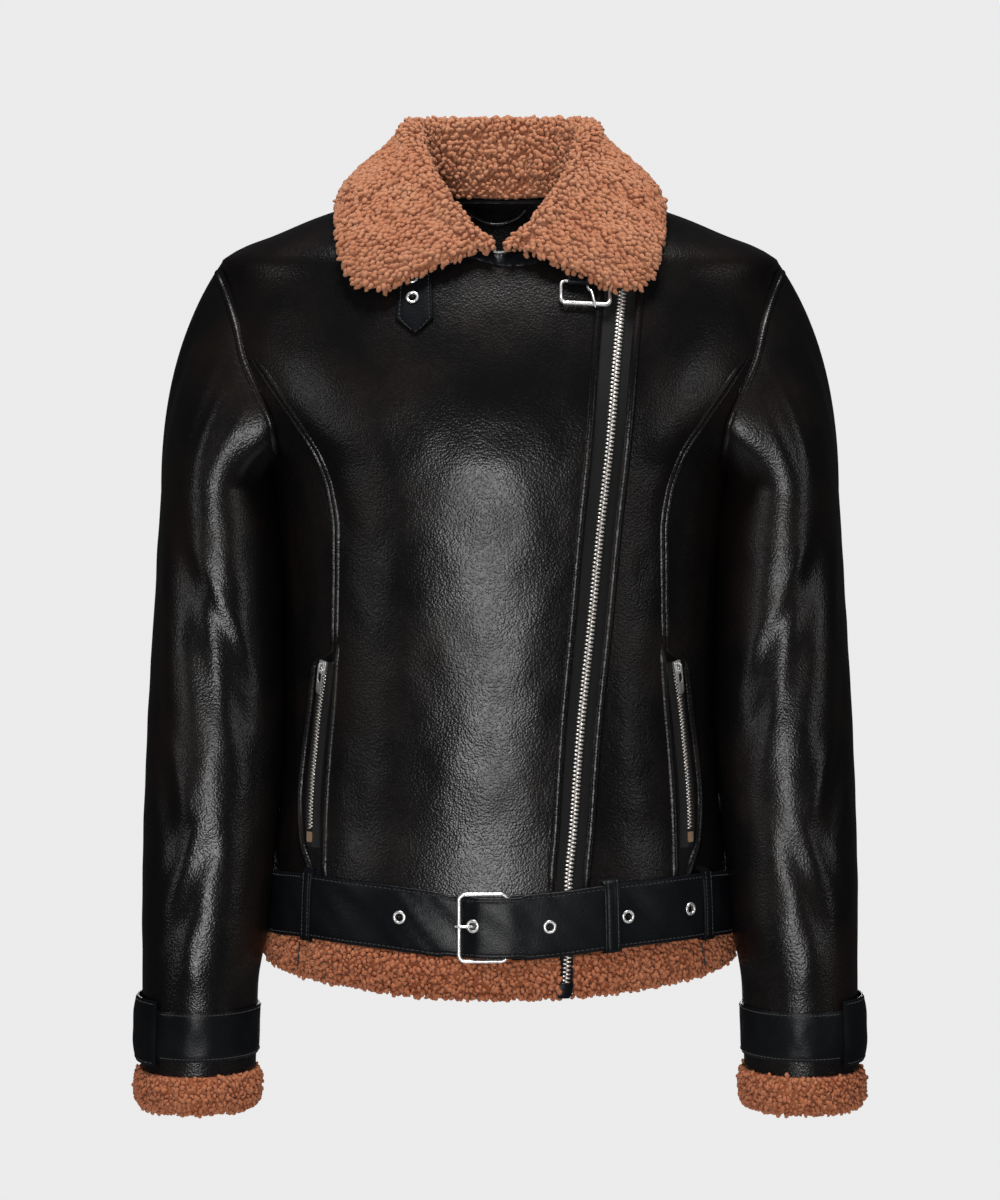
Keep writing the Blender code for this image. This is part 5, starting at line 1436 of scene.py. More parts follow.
# how far the strap's inner face stands off, by x: it climbs over its own end and through the buckle
strapRise = (
    (-40, 0.6), (-30, 0.6), (-25.2, 1.2), (-20, 3.3), (-14.8, 4.6), (-7.4, 5.1), (5.2, 5.4),
    (22, 4.1), (40, 3.7),
)
# place, side, x, width and layers of the belt under it
beltLoops = (
    ("Front", "Right", -136.0, 9.0, 1), ("Front", "Left", 77.5, 11.5, 2), ("Side", "Left", 144.0, 9.5, 2),
)
beltEyelets = (-70.4, -18.9, 34.4, 88.4, 132)
beltMiddle = smoothTable(beltLine)
strapRiseAt = smoothTable(strapRise)


def beltZ(turn):
    turn = np.asarray(turn, float) % 4
    ahead = np.where(turn >= 3, turn - 4, np.minimum(turn, 1))
    x = waistAt(np.where((turn > 1) & (turn < 3), 1.0, ahead), beltCut["loopLevel"])[0][..., 0]
    return np.where((turn >= 1) & (turn <= 3), beltLine[0][1], beltMiddle(x))


def sideEase(turn):
    away = np.minimum(turn % 4, 4 - turn % 4)
    return beltCut["ease"] * smoothStep((away - 0.2) / 0.25)


def strapInner(turn):
    turn = np.asarray(turn, float)
    x = waistAt(turn, beltCut["level"])[0][..., 0]
    rise = strapRiseAt(x)
    first, last = (float(waistTurn(beltCut[key], beltCut["level"])) for key in ("bareRight", "bareLeft"))
    near = (turn > first) & (turn < 4 + last)
    plain = np.where(turn < 4, beltCut["under"], beltCut["over"]) + sideEase(turn)
    return np.where(near, rise, plain)


def creased(turn):
    # where the strap has fine creases, on both sides of the buckle
    x = waistAt(turn, beltCut["level"])[0][..., 0]
    near = np.exp(-((x + 62) / 26) ** 2) + 0.7 * np.exp(-((x - 30) / 22) ** 2)
    return near * (np.asarray(turn) > 3.3)


def beltPoint(turn, v, lift):
    return waistAt(turn, beltZ(turn) + v, lift)


def makeBelt():
    start = float(waistTurn(beltCut["start"], beltCut["level"]))
    turns = np.linspace(start, beltCut["endQuarter"], 420)
    half = np.full(len(turns), beltCut["height"] / 2)
    x = waistAt(turns, beltCut["level"])[0][..., 0]
    squeeze = np.where(turns > 3.5, smoothStep((32 - np.abs(x - beltCut["buckleX"])) / 7), 0)
    half = half - squeeze * (beltCut["height"] - beltCut["atBuckle"]) / 2
    inner = strapInner(turns)
    profile = [(-v, w) for v, w in beltOutside[::-1]] + list(beltOutside + beltInside) + [(0.0, 0.0)]
    profile += [(-v, w) for v, w in beltInside[::-1]]
    near = creased(turns)
    rings = []
    for v, w in profile:
        at = v * half
        middle = max(0.0, 1 - abs(v) ** 4)
        wave = 0.34 * np.sin(turns * 19 + 2.2 * v) + 0.22 * np.sin(turns * 47 + 5 * v)
        crease = near * 0.34 * (np.sin(x * 0.42 + at * 0.38) + 0.6 * np.sin(x * 0.75 - at * 0.5))
        lift = inner + w + (wave + crease) * middle * (1.0 if w > 1 else 0.2)
        rings.append(beltPoint(turns, at, lift)[0])
    rings = np.swapaxes(np.array(rings), 0, 1)
    belt = addSweep("beltStrap", rings, strapLeather, "strap_leather")
    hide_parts("belt")
    declareSheet(belt, np.swapaxes(rings[:, 2:20], 0, 1))
    holes = []
    for k, place in enumerate(beltEyelets):
        turn = float(waistTurn(place, beltCut["level"]))
        turn = turn if turn > 3.5 else turn + 4
        up = 1.2 if place < 0 else -1.0
        lift = float(strapInner(turn)) + beltCut["wall"]
        centre, normal = beltPoint(turn, up, lift)
        ahead, behind = waistAt(turn + 0.01, centre[2])[0], waistAt(turn - 0.01, centre[2])[0]
        lean = float(strapInner(turn + 0.01) - strapInner(turn - 0.01))
        normal = unit(normal - lean / np.linalg.norm(ahead - behind) * unit(ahead - behind))
        holes.append((centre, normal))
        addEyelet("beltEyelet%d" % (k + 1), "belt_eyelet_%d" % (k + 1), centre, normal)
    punch(belt, holes, beltCut["holeRadius"], 2.7)
    stitches = []
    for v in (-0.885, 0.885):
        path, out = beltPoint(turns[3:-3], v * half[3:-3], inner[3:-3] + 2.33)
        stitches += spotsAlong(path, out, beltCut["stitchPitch"])
    v = np.linspace(-0.85, 0.85, 30) * beltCut["height"] / 2
    path, out = beltPoint(np.full(30, turns[-4]), v, float(strapInner(turns[-4])) + 2.4)
    stitches += spotsAlong(path, out, beltCut["stitchPitch"])
    sew("beltStitches", stitches)


def makeLoop(name, node, turn, width, layers):
    run = float(quarterRun(-1 if turn < 1 or turn > 3 else 1, np.asarray(beltCut["loopLevel"]))[-1])
    half = width / 2 / run
    near = beltCut["over"] if layers == 2 else beltCut["under"]
    near = near + float(sideEase(np.asarray(turn))) + beltCut["wall"] + 0.6
    far = near + 1.6
    high, low = beltCut["height"] / 2, -beltCut["height"] / 2
    profile = rounded((
        (0.4, high + 2.9), (near, high + 0.7), (near, low - 0.6), (0.4, low - 0.7), (0.4, low - 2.0),
        (far - 1.0, low - 1.9), (far, low - 1.1), (far, high + 1.2), (1.8, high + 4.7), (0.4, high + 4.7)), 2)
    rings = []
    for share in (-1.0, -0.94, -0.8, -0.66, -0.58, -0.5, 0.0, 0.5, 0.58, 0.66, 0.8, 0.94, 1.0):
        place = turn + share * half
        dip = 0.35 if abs(share) == 1 else 0.0
        dip += 0.28 if abs(abs(share) - 0.58) < 0.01 else 0.0
        lifts = np.array([w - dip if w > near + 0.4 else w for w, _ in profile])
        rings.append(beltPoint(np.full(len(profile), place), profile[:, 1], lifts)[0])
    piece = addSweep(name, rings, strapLeather, "strap_leather")
    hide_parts(node)
    stitches = []
    for share in (-0.58, 0.58):
        v = np.linspace(low + 1.5, high + 1.0, 40)
        path, out = beltPoint(np.full(40, turn + share * half), v, far - 0.12)
        stitches += spotsAlong(path, out, 3.0)
    return stitches


def makeLoops():
    stitches = []
    level = np.asarray(beltCut["loopLevel"])
    share = float(hOf(1, 88.0, level)) / float(quarterRun(1, level)[-1])
    rows = [(*row[:2], float(waistTurn(row[2], level)), *row[3:]) for row in beltLoops]
    rows += [("Back", "Left", 2 - share, 10.0, 1), ("Back", "Right", 2 + share, 10.0, 1)]
    for place, where, turn, width, layers in rows:
        node = "belt_loop_%s_%s" % (place.lower(), where.lower())
        stitches += makeLoop("beltLoop" + place + where, node, turn, width, layers)
    sew("loopStitches", stitches)


def makeBeltBuckle():
    middle = float(beltZ(float(waistTurn(beltCut["buckleX"], beltCut["level"]))))
    barX, hingeX, corner, halfHeight = -28.5, 5.2, 4.6, 23.6
    left, right, rise = barX + corner, hingeX - corner, halfHeight - corner
    centres = ((left, middle + rise, 90), (left, middle - rise, 180), (right, middle - rise, 270),
               (right, middle + rise, 0))
    flat = roundedLoop(centres, corner, 8)
    share = (flat[:, 0] - barX) / (hingeX - barX)
    path, normals = bodyX(-1, flat[:, 0], flat[:, 1], 4.7 + (2.15 - 4.7) * share)
    addWire("beltBuckleFrame", "belt_buckle_frame", tubeRings(path, 1.45, normals, 14, loop=True), loop=True)
    prongPath = (
        (3, 2.2), (-4, 1.5), (-10, 1.4), (-14, 1.7), (-17, 3.2), (-20.5, 7), (-23, 7.9),
        (-28.5, 7.9), (-31.5, 7.3),
    )
    line = catmull(prongPath, np.linspace(0, 8, 49))
    path = bodyX(-1, line[:, 0], np.full(49, middle + 1.2), line[:, 1])[0]
    radii = np.interp(np.linspace(0, 1, 49), (0, 0.8, 0.96, 1), (1.05, 1.05, 0.8, 0.45))
    addWire("beltBucklePin", "belt_buckle_prong", tubeRings(path, radii, (0, 0, 1), 14))


def hemFoot(turn):
    front = np.cos(np.radians(90 * turn))
    return -568.0 - np.where(front > 0, 12.5, 8.0) * front ** 2


# x of the hem's seams and of its ends at the zip, and the height that they are measured at
hemCut = {"seam": 136.0, "zipRight": 42.4, "zipLeft": 51.8, "level": -555.0, "thick": 6.0}
hemSlit = {"top": -546.0, "height": 19.0, "lift": 6.2, "sink": 1.0, "half": 0.25, "swell": 0.4}


def makeHem():
    seamRight, seamLeft, zipRight, zipLeft = (float(waistTurn(x, hemCut["level"])) for x in (
        -hemCut["seam"], hemCut["seam"], hemCut["zipRight"], hemCut["zipLeft"]))
    spans = (
        ("hemFrontRight", "hem_front_right", seamRight - 4, zipRight, 70),
        ("hemFrontLeft", "hem_front_left", zipLeft, seamLeft, 34),
        ("hemBack", "hem_back", seamLeft, seamRight, 120),
    )
    for k, (name, node, a, b, steps) in enumerate(spans):
        turns = np.linspace(a + 0.0012, b - 0.0012, steps + 1)
        ramp, foot = beltZ(turns) - beltCut["height"] / 2 - 2.4, hemFoot(turns)
        end = np.clip(fromEnds(steps + 1) / 3, 0, 1)
        t = hemCut["thick"] * (0.7 + 0.3 * np.sqrt(end))
        top = bodyCut["panelFoot"] - 0.3

        def rows(profile):
            return np.array([waistAt(turns, z + 0 * turns, lift + 0 * turns)[0] for lift, z in profile])
        skin = rows(((-1.6, top), (-0.4, top), (-0.4, ramp), (0.30 * t, ramp - 3.5), (0.42 * t, ramp - 9.0),
                     (0.40 * t, foot + 9.0), (0.1 * t, foot + 3.4), (-3.0, foot + 2.6), (-5.6, foot + 6.0),
                     (-6.6, ramp - 6.0), (-1.6, ramp + 6.0)))
        core = addSweep(name, np.swapaxes(skin, 0, 1), darkFur, "rust_shearling")
        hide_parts(node)
        field = rows(((0.02 * t, ramp + 1.5), (0.26 * t, ramp - 2.6), (0.46 * t, ramp - 8.5),
                      (0.46 * t, foot + 14.0), (0.42 * t, foot + 8.0), (0.12 * t, foot + 3.0),
                      (-3.0, foot + 2.2), (-5.8, foot + 6.0), (-6.4, foot + 14.0)))
        flow = unit(np.gradient(field, axis=0)) * 0.5
        grown = growFur(name + "Fur", field[:, ::-1], flow[:, ::-1], Largest=1.3, Seed=21 + k, **darkPile)
        declareSheet(core, skin[2:8])

    # black strips that paint the shade in the partings of the pile where the side seams run
    for where, x, lean in (("Right", -140.0, -2.2), ("Left", 140.5, 4.2)):
        t = np.linspace(0, 1, 12)
        z = hemSlit["top"] - hemSlit["height"] * t
        turns = waistTurn(x + lean * t, z)
        path, normals = waistAt(turns, z, hemSlit["lift"] - hemSlit["sink"] * t)
        halves = hemSlit["half"] + hemSlit["swell"] * np.sin(np.pi * t)
        across = halves[:, None] * unit(np.cross(normals, (0, 0, 1)))
        rings = [path + k * across + d * normals for k, d in ((-1, 0), (0, 0.3), (1, 0), (0, -1.6))]
        addSweep("hemSlit" + where, np.stack(rings, axis=1), threadLook, "rust_shearling")
    print("hem made")


# Collar: columns as neck x and z, roll x, y and z outside the shearling, edge x and z,
# and 1 where the edge is behind
collarColumns = (
    (8, -49.2, 9, -97, -47, 80, -80.5, 0),
    (24, -45.2, 22, -86, -30, 96, -79, 0),
    (40, -34, 37, -70, -9, 107, -67, 0),
    (53, -20.5, 50, -49, 10, 112.5, -50, 0),
    (62, -6.5, 59, -27, 30, 115, -31, 0),
    (66, 0, 66, 0, 49, 113, -13.8, 1),
    (54, -1.6, 66, 36, 57, 98, -22, 1),
    (30, -3.4, 44, 63, 59.5, 60, -31, 1),
    (0, -4, 0, 75, 61, 0, -34, 1),
)
collarCut = {
    "columns": 150, "fold": 4.0, "lift": 8.0, "neckLift": 0.8, "depth": 8.6, "standDepth": 14.0, "gap": 0.45,
}


def clearOfBody(points):
    # moves points of the collar's fall out to their least height over the body
    points = points.copy()
    for face in (-1, 1):
        pick = (points[:, 2] <= -1.0) & (np.where(points[:, 1] > 0, 1, -1) == face)
        pick &= np.abs(points[:, 0]) < sliceAt(points[:, 2])[..., 0]
        if pick.any():
            surface, normal = bodyX(face, points[pick, 0], points[pick, 2])
            lift = ((points[pick] - surface) * normal).sum(-1)
            points[pick] += np.maximum(0, collarCut["lift"] - lift)[:, None] * normal
    return points


def collarSection(neck, roll, edge, depth):
    up = unit(roll - neck)
    top = roll - depth * up
    out = edge - roll
    out = unit(out - np.dot(out, up) * up)
    fold = collarCut["fold"]
    centre = top - fold * up
    stand = centre - fold * out
    rows = [neck + (stand - neck) * k / 8 for k in range(8)]
    for turn in np.linspace(180, 0, 11):
        t = math.radians(turn)
        rows.append(centre + fold * (math.cos(t) * out + math.sin(t) * up))
    fall = rows[-1]
    length = np.linalg.norm(edge - fall)
    ahead = unit(edge - fall)
    sideLean = np.clip(abs(edge[0]) / 110 if edge[1] > -60 else 0.0, 0, 1)
    a = fall + 0.33 * length * unit(ahead - 0.25 * up + 0.2 * out)
    b = edge + 0.36 * length * unit(-ahead + (0, 0, 0.9 * sideLean))
    for k in range(1, 29):
        t = k / 28
        rows.append((1 - t) ** 3 * fall + 3 * (1 - t) ** 2 * t * a + 3 * (1 - t) * t**2 * b + t**3 * edge)
    return np.array(rows)


def collarGrid():
    neck, roll, edge = [], [], []
    for k, (nx, nz, rx, ry, rz, ex, ez, back) in enumerate(collarColumns):
        neck.append(bodyX(1 if k > 5 else -1, nx, nz)[0] + (0, 0, collarCut["neckLift"]))
        roll.append((rx, ry, rz))
        edge.append(bodyX(1 if back else -1, ex, ez, collarCut["lift"])[0])
    both = []
    for half in (neck, roll, edge):
        half = np.array(half)
        both.append(np.concatenate([half, half[-2::-1] * (-1, 1, 1)]))
    last = len(both[0]) - 1
    want = np.linspace(0, last, collarCut["columns"] + 1)
    smooth = [catmull(line, want) for line in both]
    share = want / last
    depth = collarCut["depth"] * (0.62 + 0.38 * np.clip(np.minimum(share, 1 - share) / 0.09, 0, 1))
    columns = np.array([collarSection(*place) for place in zip(*smooth, depth)])
    flat = clearOfBody(columns[:, 19:].reshape(-1, 3))
    columns[:, 19:] = flat.reshape(columns[:, 19:].shape)
    return np.swapaxes(columns, 0, 1), depth, share


def facing(grid, way, normal, row):
    # columns run so that the faces look out
    a, b = grid[row, 1] - grid[row, 0], grid[row + 1, 0] - grid[row, 0]
    return (grid[:, ::-1], way[:, ::-1]) if np.dot(np.cross(a, b), normal) < 0 else (grid, way)


def makeCollar():
    base, depth, share = collarGrid()
    down, across = np.gradient(base, axis=0), np.gradient(base, axis=1)
    normals = unit(np.cross(across, down))
    middle = base.shape[1] // 2
    if normals[0, middle, 1] > 0:
        normals = -normals
    rise = unit(base[5] - base[0])
    strip = collarCut["standDepth"] * smoothStep((np.minimum(share, 1 - share) - 0.14) / 0.2)
    shell, foot = base.copy(), (strip + 0.3)[:, None] * rise
    for k in range(8):
        shell[k] = base[0] + foot + (base[8] - base[0] - foot) * k / 8
    rows, columns = base.shape[:2]
    edgeFall = np.clip((rows - 1 - np.arange(rows)) / 3.0, 0, 1) ** 0.5
    sides = np.clip(fromEnds(columns) / 4.0, 0, 1) ** 0.5
    thick = depth[None] * (0.35 + 0.65 * edgeFall)[:, None] * (0.4 + 0.6 * sides)[None]
    outer = shell + (0.42 * thick)[..., None] * normals
    core = addWall("collarFurCore", outer, shell + collarCut["gap"] * normals, lightFur, "caramel_shearling")
    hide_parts("collar_shearling")

    # leather under the fall and outside the stand
    wave = 0.5 * unevenness(np.arange(columns)[None] * 5.0, np.arange(rows)[:, None] * 6.0, 3.0)
    under = base - collarCut["gap"] * normals
    outside = under - (1.2 + 0.25 * wave)[..., None] * normals
    looks, slot = bodyLeather, "black_leather"
    addSheet("collarUnderside", "collar_leather", under, under, outside, looks, slot)

    # where the pile grows: the outer face, its lower edge and both ends
    field = shell + (0.45 * thick)[..., None] * normals
    tail = shell[-1] + 0.12 * thick[-1][:, None] * normals[-1] + 0.9 * unit(base[-1] - base[-2])
    field = np.concatenate([field, tail[None]])
    ends = []
    for at, before in ((0, 1), (-1, -2)):
        away = unit(field[:, at] - field[:, before])
        low = np.concatenate([normals[:, at], normals[-1:, at]])
        ends.append((field[:, at] - 1.6 * low + 0.9 * away)[:, None])
    field = np.concatenate([ends[0], field, ends[1]], axis=1)
    lean = np.concatenate([normals, normals[-1:]])
    lean = np.concatenate([lean[:, :1], lean, lean[:, -1:]], axis=1)
    flow = unit(np.gradient(field, axis=0))
    outward = unit(np.gradient(field, axis=1))
    count = np.arange(field.shape[1])
    atEnds = np.clip((count - count[-1] + 6) / 6, 0, 1) - np.clip((6 - count) / 6, 0, 1)
    flow = flow + 1.1 * atEnds[None, :, None] * outward
    swirl = np.sin(field[..., [1, 2, 0]] * 0.55 + field[..., [2, 0, 1]] * 0.41 + (0.0, 1.0, 2.0))
    flow = flow + 0.32 * (swirl - (swirl * lean).sum(-1, keepdims=True) * lean)
    # on the falls the pile runs out and down, and inside the back it stands up more
    fallen = smoothStep((np.arange(len(field)) - 12) / 8)[:, None, None]
    flow = flow * (0.35 + 0.85 * fallen)
    cutsAt = (0, int(columns * 0.36), int(columns * 0.64), columns + 1)
    for k in range(3):
        span = slice(cutsAt[k], cutsAt[k + 1] + 1)
        grid, way = facing(field[:, span], flow[:, span], lean[6, cutsAt[k]], 6)
        growFur("collarFur" + "ABC"[k], grid, way, Seed=31 + k, **collarPile)
    declareSheet(core, outer)

    # separate strip round the foot of the stand
    first = int(np.argmax(strip > 2.0))
    keep = slice(first, columns - first)
    low = base[0, keep]
    steps = np.linspace(0, 1, 7)[:, None, None]
    stand = low[None] + steps * ((strip[keep] - 0.15)[:, None] * rise[keep])[None]
    out = np.repeat(normals[0, keep][None], 7, axis=0)
    deep = depth[keep][None, :, None] * 0.8 * np.array((0.6, 0.9, 1, 1, 1, 0.9, 0.6))[:, None, None]
    strap = addWall("standFurCore", stand + 0.4 * deep * out, stand + collarCut["gap"] * out, lightFur,
                    "caramel_shearling")
    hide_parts("collar_stand_shearling")
    grid, way = facing(stand + 0.42 * deep * out, np.repeat(0.3 * rise[keep][None], 7, axis=0), out[3, 0], 3)
    fur = growFur("standFur", grid, way, Seed=41, **standPile)
    declareSheet(strap, stand)
    print("collar made")


# hanger loop as x, z and depth inside the back
hanger = (
    (-27, -9, 6.1), (-21, -13, 9), (-9, -17, 10.5), (3, -17, 10.5), (14, -13.5, 9),
    (20, -9, 6.1),
)


def makeNeckInside():
    low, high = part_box("back_neck_facing")
    across = np.linspace(low.x / mm + 1.5, high.x / mm - 1.5, 60)
    topAt = smoothTable(neckBack)
    foot = low.z / mm
    rows = []
    for t in np.linspace(0, 1, 12):
        top = topAt(np.abs(across)) - 1.0
        z = top + (foot - top) * t
        rows.append(bodyX(1, across, z, -3.2)[0])
    outer = np.array(rows)
    inner = outer - np.array([bodyX(1, across, outer[k][:, 2])[1] for k in range(12)]) * 1.0
    looks = [liningLook, bodyLeather]
    addSheet("neckFacing", "back_neck_facing", outer, outer, inner, looks, "black_lining")
    path = np.array([bodyX(1, x, z, -depth)[0] for x, z, depth in hanger])
    path = catmull(path, np.linspace(0, 5, 51))
    loop = addSweep("hangerCord", tubeRings(path, 1.35, (0, 1, 0), 10), bodyLeather, "black_lining")
    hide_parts("hanger_loop")
    # stitched line across the lining
    line = np.linspace(-42, 42, 60)
    points, normals = bodyX(1, line, np.full(60, -24.0), -4.25)
    sew("facingStitches", spotsAlong(points, -normals, 3.6))


def makeNeckBand():
    # glossy gathered strip below the front of the neck
    rows, columns = 18, 110
    t = np.linspace(0, 1, rows)[:, None]
    x = np.linspace(-34.0, 72.0, columns)[None]
    top = smoothTable(neckFront)(np.abs(x)) - 2.2
    deep = 7.0 + 5.5 * smoothStep((x + 24) / 56) - 3.0 * smoothStep((x - 44) / 28)
    z = top - deep * t
    wrinkle = np.sin(x * 0.75 + 2.6 * t + 1.3 * np.sin(x * 0.13)) + 0.7 * np.sin(x * 1.33 - 3.4 * t + 1.0)
    wrinkle = wrinkle + 0.5 * np.sin(x * 0.41 + 9.0 * t)
    puff = np.sin(np.pi * t) ** 0.7
    lift = 1.0 + puff * (1.0 + 0.42 * wrinkle * (0.35 + 0.65 * np.abs(2 * t - 1)))
    points, normals = bodyX(-1, x + 0 * t, z, 0.0)
    outer = points + lift[..., None] * normals
    band = addWall("neckBand", outer, points + 0.25 * normals, strapLeather, "black_leather")
    declareSheet(band, points)


# Straps and buckle at the neck
# height, left and right of the throat strap, and x and z of its eyelets
throatRows = ((-64, -72, -48.5), (-76, -72.6, -48), (-88, -73.2, -47.4), (-98, -73.9, -46.8))
throatHoles = ((-61.9, -84.3), (-62.4, -69.8))


def makeThroatStrap():
    z = np.r_[np.linspace(-64, -98, 30), np.linspace(-98.6, -108.6, 14)]
    tip = np.clip((-98.0 - z) / 11.0, 0, 1)
    left, right = smoothTable(throatRows)(z).T
    middle = (left + right) / 2 + 0.6 * tip
    half = (right - left) / 2 * (1 - tip ** 1.15 * 0.93)
    u = np.array((-1, -0.97, -0.9, -0.84, -0.79, -0.74, -0.5, -0.2, 0.2, 0.5, 0.74, 0.79, 0.84, 0.9, 0.97, 1))
    rim = np.array((0.55, 0.2, 0, 0.05, 0.2, 0.05, 0, 0, 0, 0, 0.05, 0.2, 0.05, 0, 0.2, 0.55))
    x = middle[:, None] + half[:, None] * u[None]
    points, normals = bodyX(-1, x, np.repeat(z[:, None], len(u), 1))
    wave = 0.22 * np.sin(z * 0.16)[:, None] * (1 - np.abs(u)[None])
    lift = 2.2 - rim[None] + wave + np.zeros_like(x)
    lift[-1] -= 0.5
    outer = points + lift[..., None] * normals
    inner = points + 0.4 * normals
    strap = addSheet("throatStrap", "throat_strap", points, outer, inner, strapLeather, "strap_leather")
    holes = []
    for k, (ex, ez) in enumerate(throatHoles):
        centre, normal = bodyX(-1, ex, ez, 2.25)
        holes.append((centre, normal))
        addEyelet("throatEyelet%d" % (k + 1), "throat_eyelet_%d" % (k + 1), centre, normal)
    punch(strap, holes, 3.05, 2.4)
    stitches = []
    for column in (4, 11):
        line = points[2:-2, column] + 2.12 * normals[2:-2, column]
        stitches += spotsAlong(line, normals[2:-2, column], 3.2)
    sew("throatStitches", stitches)


def makeNeckBuckle():
    centre, normal = bodyX(-1, 60.2, -81.4, 3.1)
    level = unit(np.cross((0.0, 0.0, 1.0), normal))
    level = level if level[0] > 0 else -level
    rise = np.cross(normal, level)
    turn = math.radians(-3.0)
    across = math.cos(turn) * level + math.sin(turn) * rise
    up = math.cos(turn) * rise - math.sin(turn) * level
    halfX, halfZ, corner = 17.4, 8.6, 3.4
    x, z = halfX - corner, halfZ - corner
    flat = roundedLoop(((x, z, 0), (-x, z, 90), (-x, -z, 180), (x, -z, 270)), corner, 6)
    radii = 1.15 + 0.4 * smoothStep((-flat[:, 1] - 2) / 5)
    path = centre + flat[:, :1] * across + flat[:, 1:] * up
    rings = tubeRings(path, radii, np.repeat(normal[None], len(path), 0), 14, loop=True)
    addWire("neckBuckleFrame", "neck_buckle_frame", rings, loop=True, rides="neck_buckle_frame")
    low = 1.15 + 1.5 + 0.35
    spots = ((1.5, halfZ - 3.3, 0.0), (2.4, halfZ - 6.0, 0.7), (4.2, 0.0, low * 0.62), (6.0, -halfZ, low),
             (6.8, -halfZ - 4.0, low - 0.5))
    line = catmull(spots, np.linspace(0, 4, 33))
    path = centre + line[:, :1] * across + line[:, 1:2] * up + line[:, 2:] * normal
    radii = np.interp(np.linspace(0, 1, 33), (0, 0.8, 1), (1.0, 0.95, 0.5))
    rings = tubeRings(path, radii, across, 12)
    addWire("neckBucklePin", "neck_buckle_prong", rings, rides="neck_buckle_prong")

    # strap folded round the upper bar
    bend, wall = 1.55, 1.1
    wide = bend + wall
    turns = np.radians(np.linspace(270, 90, 9))
    profile = [(12.5, -bend)] + [(bend * math.cos(t), bend * math.sin(t)) for t in turns]
    profile += [(3.0, bend), (3.0, wide)] + [(wide * math.cos(t), wide * math.sin(t)) for t in turns[::-1]]
    profile += [(12.5, -wide)]
    profile = rounded(profile, 1)
    axisPoint = centre + halfZ * up
    stations = []
    for s in (-1, -0.97, -0.9, -0.6, -0.2, 0.2, 0.6, 0.9, 0.97, 1):
        pinch = 0.88 if abs(s) == 1 else 0.96 if abs(s) == 0.97 else 1.0
        mid = axisPoint + s * 12.5 * across
        stations.append([mid + r * up + (w * (pinch if w > 0 else 1.0)) * normal for r, w in profile])
    strap = addSweep("neckBuckleStrap", stations, strapLeather, "strap_leather")
    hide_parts("neck_buckle_strap")
    declareSheet(strap, np.swapaxes(np.array(stations), 0, 1)[len(profile) // 2:])


# Zips
def zipTape(name, node, z, middle, widths, side, gap):
    high = -1.4 - gap
    half = ((1, high), (0.42, high), (0.30, -0.9), (0.26, -0.6))
    profile = ((-1, high - 0.8), (1, high - 0.8), *half, *((-u, w) for u, w in half[::-1]))
    h = hOf(-1, side * middle, z)
    rings = []
    for u, w in profile:
        across = u * widths if abs(u) == 1 else np.full(len(z), u * 10.5)
        rings.append(bodyAt(-1, h + across, z, w + 0 * z)[0])
    rings = np.swapaxes(np.array(rings), 0, 1)
    tape = addSweep(name, rings, zipTapeLook, "zip_tape")
    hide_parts(node)
    declareSheet(tape, np.swapaxes(rings[:, 2:], 0, 1))


def chain(name, z, middle, side, pitch, size):
    # two rows of teeth that mesh
    h = hOf(-1, side * middle, z)
    spots = []
    for row in (-1, 1):
        points, normals = bodyAt(-1, h + row * 0.95 * size, z, -0.55 + 0 * z)
        spots += spotsAlong(points, normals, pitch, start=0.5 if row < 0 else 1.0, size=(size, size, size))
    placeAlong(name, spots, tooth, toothMetal)


def zipEnd(name, middle, side, z, half, profile, look, slot):
    # short block over the end of a zip, taken in and let down at both of its edges
    h = hOf(-1, side * middle, z)
    wide, inset = half
    foot, top, squash, rise = profile
    rings = []
    for k in range(len(z)):
        last = k in (0, len(z) - 1)
        u0, share = (wide - inset, squash) if last else (wide, 1.0)
        outline = rounded(((-u0, foot), (u0, foot), (u0, top), (-u0, top)), 1)
        rings.append(np.array([bodyAt(-1, h[k] + u, z[k], w * share + rise)[0] for u, w in outline]))
    addSweep(name, rings, look, slot)


def makeZips():
    z = np.linspace(mainZip["tapeFoot"], mainZip["top"] - 2, 152)
    below = mainZip["tapeHalfBelow"]
    widths = below + (mainZip["tapeHalf"] - below) * smoothStep((z + 537) / 6)
    zipTape("mainZipTape", "main_zip_tape", z, zipAt(z), widths, 1, mainZip["tapeGap"])
    z = np.linspace(mainZip["foot"], mainZip["top"] - 8, 302)
    chain("mainZipTeeth", z, zipAt(z), 1, mainZip["toothPitch"], mainZip["toothSize"])
    smoothCopy("main_zip_slider", "mainZipSlider", 0.22)
    smoothCopy("main_zip_pull", "mainZipPull", 0.16, "main_zip_pull")
    # leather end over the foot of the main zip
    z = np.linspace(-578.5, -568.0, 7)
    zipEnd("mainZipBox", zipAt(z), 1, z, (4.6, 0.5), (-0.9, 1.3, 0.7, 0.2), strapLeather, "black_leather")
    for side, where in ((-1, "Right"), (1, "Left")):
        low = where.lower()
        z = np.linspace(pocketZip["foot"], pocketZip["top"], 60)
        widths = np.full(60, pocketZip["tapeHalf"])
        name = "pocket_zip_tape_" + low
        zipTape("pocketZipTape" + where, name, z, pocketZipAt(z), widths, side, pocketZip["tapeGap"])
        z = np.linspace(pocketZip["toothFoot"], pocketZip["top"], 90)
        pitch, size = pocketZip["toothPitch"], pocketZip["toothSize"]
        chain("pocketZipTeeth" + where, z, pocketZipAt(z), side, pitch, size)
        name = "pocket_pull_" + low
        smoothCopy("pocket_slider_" + low, "pocketSlider" + where, 0.22)
        smoothCopy(name, "pocketPull" + where, 0.16, name)
        # folded tape end below the teeth
        z = np.linspace(-473.6, -466.4, 7)
        profile = (-0.8, 0.9, 1.0, 0.1)
        zipEnd("pocketTapeEnd" + where, pocketZipAt(z), side, z, (2.7, 0.4), profile, tanTape, "zip_tape")
    print("zips made")


